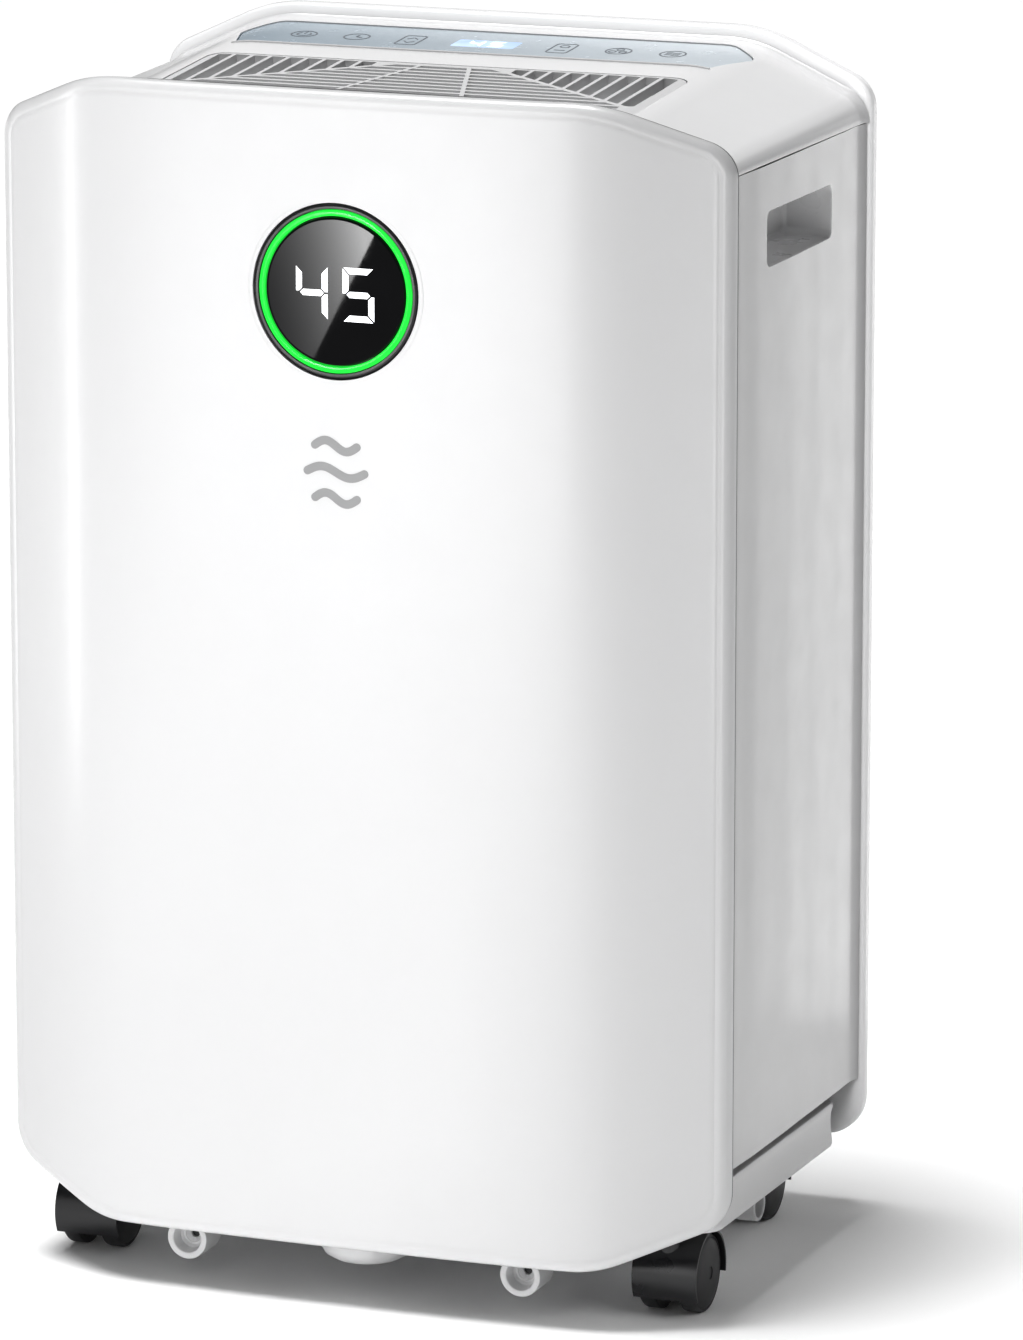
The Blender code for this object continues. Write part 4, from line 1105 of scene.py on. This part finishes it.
def make_lug(side, word):
    """Screw lug under the front edge: a round cup with a countersunk hole on a short neck."""
    x = side * 90.0
    z = 22.0
    r = 10.8
    lug = turned("screw_lug_" + word,
                 [(0, -106), (r, -106), (r, -124.2), (r - 0.3, -124.8), (r - 1.0, -125), (r - 2.6, -125),
                  (r - 3.2, -124.7), (r - 3.6, -124), (r - 4.2, -117.5), (5.2, -116.5), (4.4, -116.5),
                  (4.0, -115.8),
                  (2.3, -114.0), (2.3, -108), (0, -108)],
                 "trim", "Y", (x, 0, z), 48)
    neck = tool(rectangle((x - 8, z + 6), (x + 8, TRAY_LOW_EDGE + 2)), -121, -107, "trim", "Y")
    near = x + side * 2
    far = x + side * 14.5
    corners = [(near, z - 7), (far, z + 3), (far, TRAY_LOW_EDGE + 2), (near, TRAY_LOW_EDGE + 2)]
    web = tool(corners[::side], -112, -108, "trim", "Y")
    weld(lug, neck)
    weld(lug, web)
    soften(lug, 30)
    turned("lug_socket_" + word, [(0, -112.4), (2.2, -112.4), (2.2, -111.6), (0, -111.6)],
           "black_plastic", "Y", (x, 0, z), 24)


def make_boss(side, word):
    """Side screw boss: a thin ring round a hollow, on a short neck."""
    inner, outer = 154.0, 165.0
    y, z = 17.0, 28.5
    profile = [(0, inner), (8.6, inner), (8.6, outer - 0.6), (8.1, outer), (6.9, outer), (6.5, outer - 0.6),
               (6.0, inner + 2), (0, inner + 2)]
    boss = turned("side_boss_" + word, [(radius, side * h) for radius, h in profile], "trim", "X",
                  (0, y, z), 40)
    ends = sorted((side * (inner + 1), side * (outer - 1)))
    weld(boss, tool(rectangle((y - 4, z + 5), (y + 4, TRAY_LOW_EDGE + 2)), *ends, "trim", "X"))
    soften(boss, 30)


# ---- casters

WHEEL_R = 20.0
HOOD_R = 22.0
HOOD_INNER_R = 20.8
HOOD_HALF_W = 17.0
HOOD_FRONT = -28.0
TRAIL = 11.0


def make_hood(name, centre):
    """Fender over both wheels, the web between them and the seat of the stem."""
    x, y = centre
    arch = [(y - r * math.cos(a), WHEEL_R + r * math.sin(a)) for r, first, last in
            ((HOOD_R, HOOD_FRONT, 192.0), (HOOD_INNER_R, 192.0, HOOD_FRONT))
            for a in [math.radians(first + (last - first) * k / 40) for k in range(41)]]
    hood = prism("caster_fender_" + name, arch[::-1], x - HOOD_HALF_W, x + HOOD_HALF_W, "black_plastic",
                 "X", "caster_" + name)
    web = [(y - (HOOD_R - 0.6) * math.cos(a), WHEEL_R + (HOOD_R - 0.6) * math.sin(a))
           for a in [math.radians(-18 + 200 * k / 30) for k in range(31)]]
    web += [(y + 8, 12), (y, 10), (y - 8, 8)]
    weld(hood, tool(web[::-1], x - 5.7, x + 5.7, "black_plastic", "X"))
    weld(hood, turned("seat", [(0, 31), (6.6, 31), (6.6, 38.2), (5.8, 39.1), (0, 39.1)], "black_plastic",
                      "Z", (x, y - TRAIL, 0), 32, None))
    soften(hood, 30)
    bevel(hood, 0.35, 2, 50)
    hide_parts("caster_hood_" + name)


def make_wheel(name, centre, side, word):
    x, y = centre
    inner, outer = 6.2, 16.6
    r = WHEEL_R
    profile = [(0, inner + 4.0), (4.0, inner + 4.0), (4.4, inner + 0.6), (7.6, inner + 0.6),
               (8.4, inner + 3.0), (15.4, inner + 3.0), (16.2, inner + 0.4), (r - 0.8, inner),
               (r - 0.2, inner + 0.3), (r, inner + 1.0),
               (r, outer - 3.2), (r - 0.25, outer - 2.4), (r - 0.9, outer - 1.7), (r - 1.7, outer - 1.5),
               (r - 2.0, outer - 1.9), (r - 2.4, outer - 1.5), (r - 4.0, outer - 0.9),
               (r - 8.0, outer - 0.3),
               (3.4, outer), (3.0, outer - 0.5), (0, outer - 0.5)]
    wheel = turned("wheel_disc_%s_%s" % (name, word), [(radius, side * h) for radius, h in profile],
                   "tread",
                   "X", (x, y, WHEEL_R), 72, "wheel_%s_%s" % (name, word), 28)
    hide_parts("wheel_%s_%s" % (name, word))


def make_stem(name, centre):
    x, y = centre
    spot = (x, y - TRAIL, 0)
    stem = turned("caster_pin_" + name,
                  [(0, 30), (3.7, 30), (3.7, 39.6), (5.0, 39.7), (6.0, 40.6), (6.3, 42.2), (6.3, 45.2),
                   (5.6, 46.7),
                   (4, 46.9), (4, 66.5), (0, 66.5)],
                  "collar", "Z", spot, 40, "caster_" + name)
    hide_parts("caster_stem_" + name)


def make_casters():
    for name in ("front_left", "front_right", "rear_left", "rear_right"):
        low, high = span("axle_" + name)
        centre = ((low.x + high.x) / 2, (low.y + high.y) / 2)
        make_hood(name, centre)
        make_stem(name, centre)
        for side, word in ((-1, "left"), (1, "right")):
            make_wheel(name, centre, side, word)


# ---- inside

def make_coil_fins():
    """Thin fins across the two heat exchangers, with the bends of the copper tubes at their ends."""
    for node, word in (("condenser_coil", "condenser"), ("evaporator_coil", "evaporator")):
        low, high = span(node)
        fins = []
        for x in stations(low.x + 3, high.x - 3, 2.6):
            outline = rectangle((x - 0.2, low.y + 0.4), (x + 0.2, high.y - 0.4))
            fins.append(tool(outline, low.z + 4, high.z - 4, "fins"))
        block = group(fins, word + "_fins")
        plates = []
        for x in (low.x + 0.8, high.x - 0.8):
            plates.append(tool(rectangle((x - 0.8, low.y), (x + 0.8, high.y)), low.z, high.z, "fins"))
        group(plates, word + "_end_plates")
        tubes = []
        middle = (low.y + high.y) / 2
        tube = [(0, low.x + 1.7), (3.6, low.x + 1.7), (3.6, high.x - 1.7), (0, high.x - 1.7)]
        for z in stations(low.z + 14, high.z - 14, 24):
            tubes.append(turned("tube", tube, "copper", "X", (0, middle, z), 16, None))
        group(tubes, word + "_tubes")
        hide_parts(node)


def dress_cad_nodes():
    """Gives every CAD node its slot's material and smooth shading."""
    slots = {part["node"]: part["material_slot"] for part in frame["record"]["subparts"]}
    for name, node in frame["nodes"].items():
        node.data.materials.clear()
        node.data.materials.append(FINISHES[slots[name]])
        node.data.shade_smooth()
        node.data.set_sharp_from_angle(angle=math.radians(30))
    for name, width in (("water_tank", 1.6), ("tank_lid", 0.9), ("drip_tray", 0.5), ("electrical_box", 0.5),
                        ("bulkhead", 0.5)):
        bevel(frame["nodes"][name], width, 3, 50)


# ---- floor, light, camera

CAMERA_AZIMUTH = 21.55
CAMERA_ELEVATION = 12.39
CAMERA_DISTANCE = 4.3519
CAMERA_TARGET = (-0.05411, 0.2287, 0.24539)
CAMERA_LENS = 218.5


def make_floor():
    half = 30.0
    corners = [(x, y, 0) for x, y in rectangle((-half, -half), (half, half))]
    mesh = bpy.data.meshes.new("floor")
    mesh.from_pydata(corners, [], [(0, 1, 2, 3)])
    made, tree, shader = new_material("floor_pale")
    speckle = noise(tree, 3.0, 3.0)
    tree.links.new(tint(tree, speckle, (0.94, 0.94, 0.94), (0.96, 0.96, 0.96)), shader.inputs["Base Color"])
    shader.inputs["Roughness"].default_value = 0.9
    shader.inputs["Specular IOR Level"].default_value = 0.1
    mesh.materials.append(made)
    floor = bpy.data.objects.new("floor", mesh)
    bpy.context.scene.collection.objects.link(floor)


def area_light(name, place, aim, size, power, include=(), exclude=()):
    """Softbox that faces its aim; it may reach only some pieces, or all pieces but some."""
    data = bpy.data.lights.new(name, "AREA")
    data.shape = "RECTANGLE"
    data.size, data.size_y = size
    data.energy = power
    made = bpy.data.objects.new(name, data)
    made.location = place
    made.rotation_mode = "QUATERNION"
    made.rotation_quaternion = (Vector(aim) - Vector(place)).to_track_quat("-Z", "Y")
    made.visible_camera = False
    bpy.context.scene.collection.objects.link(made)
    if include or exclude:
        linked = bpy.data.collections.new(name + "_link")
        for target in include or exclude:
            linked.objects.link(bpy.data.objects[target])
        for entry in linked.collection_objects:
            entry.light_linking.link_state = "INCLUDE" if include else "EXCLUDE"
        made.light_linking.receiver_collection = linked
    return made


LENS_CARD_CENTRE = (-0.2992, -0.741, 0.4284)
LENS_CARD_TURN = -27.3


def make_lens_card():
    """Softbox that only the display mirrors, brighter towards its upper right corner."""
    centre = Vector(LENS_CARD_CENTRE)
    card = area_light("display_card", centre, centre + Vector((0.0, 1.0, 0.0)), (0.120, 0.140), 2.9,
                      include=("display_glass", "display_glow_ring", "display_bezel"))
    turn = Quaternion((0.0, 0.0, 1.0), math.radians(LENS_CARD_TURN))
    card.rotation_quaternion = card.rotation_quaternion @ turn
    card.data.use_nodes = True
    tree = card.data.node_tree
    place = tree.nodes.new("ShaderNodeNewGeometry")
    parts = tree.nodes.new("ShaderNodeSeparateXYZ")
    tree.links.new(place.outputs["Parametric"], parts.inputs["Vector"])
    total = tree.nodes.new("ShaderNodeMath")
    tree.links.new(parts.outputs["X"], total.inputs[0])
    tree.links.new(parts.outputs["Y"], total.inputs[1])
    curve = tree.nodes.new("ShaderNodeMath")
    curve.operation = "POWER"
    tree.links.new(spread(tree, total.outputs["Value"], 0.2, 1.0, 0.4, 1.7), curve.inputs[0])
    curve.inputs[1].default_value = 4.6
    tree.links.new(curve.outputs["Value"], tree.nodes["Emission"].inputs["Strength"])


def sun_light(name, azimuth, elevation, strength, softness):
    data = bpy.data.lights.new(name, "SUN")
    data.energy = strength
    data.angle = math.radians(softness)
    made = bpy.data.objects.new(name, data)
    made.rotation_mode = "QUATERNION"
    made.rotation_quaternion = from_angles(azimuth, elevation).to_track_quat("Z", "Y")
    bpy.context.scene.collection.objects.link(made)


def from_angles(azimuth, elevation):
    a = math.radians(azimuth)
    e = math.radians(elevation)
    return Vector((math.sin(a) * math.cos(e), -math.cos(a) * math.cos(e), math.sin(e)))


def make_world(strength):
    world = bpy.data.worlds.new("studio")
    bpy.context.scene.world = world
    world.use_nodes = True
    background = world.node_tree.nodes["Background"]
    background.inputs["Color"].default_value = (1.0, 1.0, 1.0, 1.0)
    background.inputs["Strength"].default_value = strength


def make_lights():
    """Soft key from above, strips and softboxes for single parts, and a fill in the floor's shadow."""
    lit = ("display_glass", "display_glow_ring")
    make_world(0.07)
    sun_light("key_sun", -68.45, 80.0, 3.25, 26.0)
    area_light("front_softbox", (-0.42, -1.60, 0.36), (0.0, -0.14, 0.36), (0.8, 0.62), 3.4, exclude=lit)
    strip = area_light("panel_strip", (-0.06, -0.50, 0.40), (-0.06, -0.14, 0.40), (0.10, 0.90), 0.98,
                       exclude=lit)
    strip.visible_glossy = False
    area_light("rim_softbox", (0.45, -1.50, 1.20), (0.10, 0.10, 0.50), (0.6, 0.6), 18.0,
               include=("rear_rim",))
    area_light("side_strip", (0.30, 0.42, 0.33), (0.19, 0.09, 0.33), (0.06, 0.62), 0.13)
    for name, place, aim, size, power in (
            ("wing_softbox", (1.00, -0.97, 0.36), (0.165, -0.125, 0.36), (0.20, 1.0), 2.0),
            ("band_softbox", (-1.27, -0.57, 0.36), (-0.15, -0.13, 0.36), (0.10, 1.0), 2.0)):
        shine = area_light(name, place, aim, size, power, include=("front_panel_shell",))
        shine.visible_diffuse = False
    fill = area_light("floor_fill", (1.25, -0.30, 0.80), (0.40, 0.0, 0.0), (0.8, 0.8), 1.4,
                      include=("floor",))
    fill.data.spread = math.radians(80.0)
    area_light("cap_softbox", (0.35, 0.0, 1.60), (0.15, 0.0, 0.60), (0.5, 0.5), 2.4,
               include=("top_cover_shell", "rear_rim"))
    area_light("back_softbox", (-0.5, 3.2, 1.5), (0.0, 0.0, 0.6), (3.0, 1.2), 9.0,
               exclude=("control_glass", "readout_window", "side_skin_right"))
    make_lens_card()


def make_camera():
    target = Vector(CAMERA_TARGET)
    back = from_angles(CAMERA_AZIMUTH, CAMERA_ELEVATION)
    data = bpy.data.cameras.new("camera")
    data.lens = CAMERA_LENS
    data.sensor_width = 36.0
    camera = bpy.data.objects.new("camera", data)
    camera.location = target + back * CAMERA_DISTANCE
    camera.rotation_mode = "QUATERNION"
    camera.rotation_quaternion = (-back).to_track_quat("-Z", "Y")
    data.clip_end = 100.0
    bpy.context.scene.collection.objects.link(camera)
    bpy.context.scene.camera = camera


def build():
    bpy.context.scene.view_settings.view_transform = "Standard"
    bpy.context.scene.view_settings.gamma = 0.8
    make_camera()
    make_floor()
    dress_cad_nodes()
    make_front_panel()
    make_display()
    make_emblem()
    make_top_cover()
    make_grille()
    make_controls()
    make_side_panel(-1, "side_skin_left", "side_panel_left")
    make_side_panel(1, "side_skin_right", "side_panel_right")
    make_rim()
    make_back()
    make_filter()
    make_rear_fittings()
    make_tray()
    make_casters()
    make_coil_fins()
    make_lights()
    even_normals()


build()
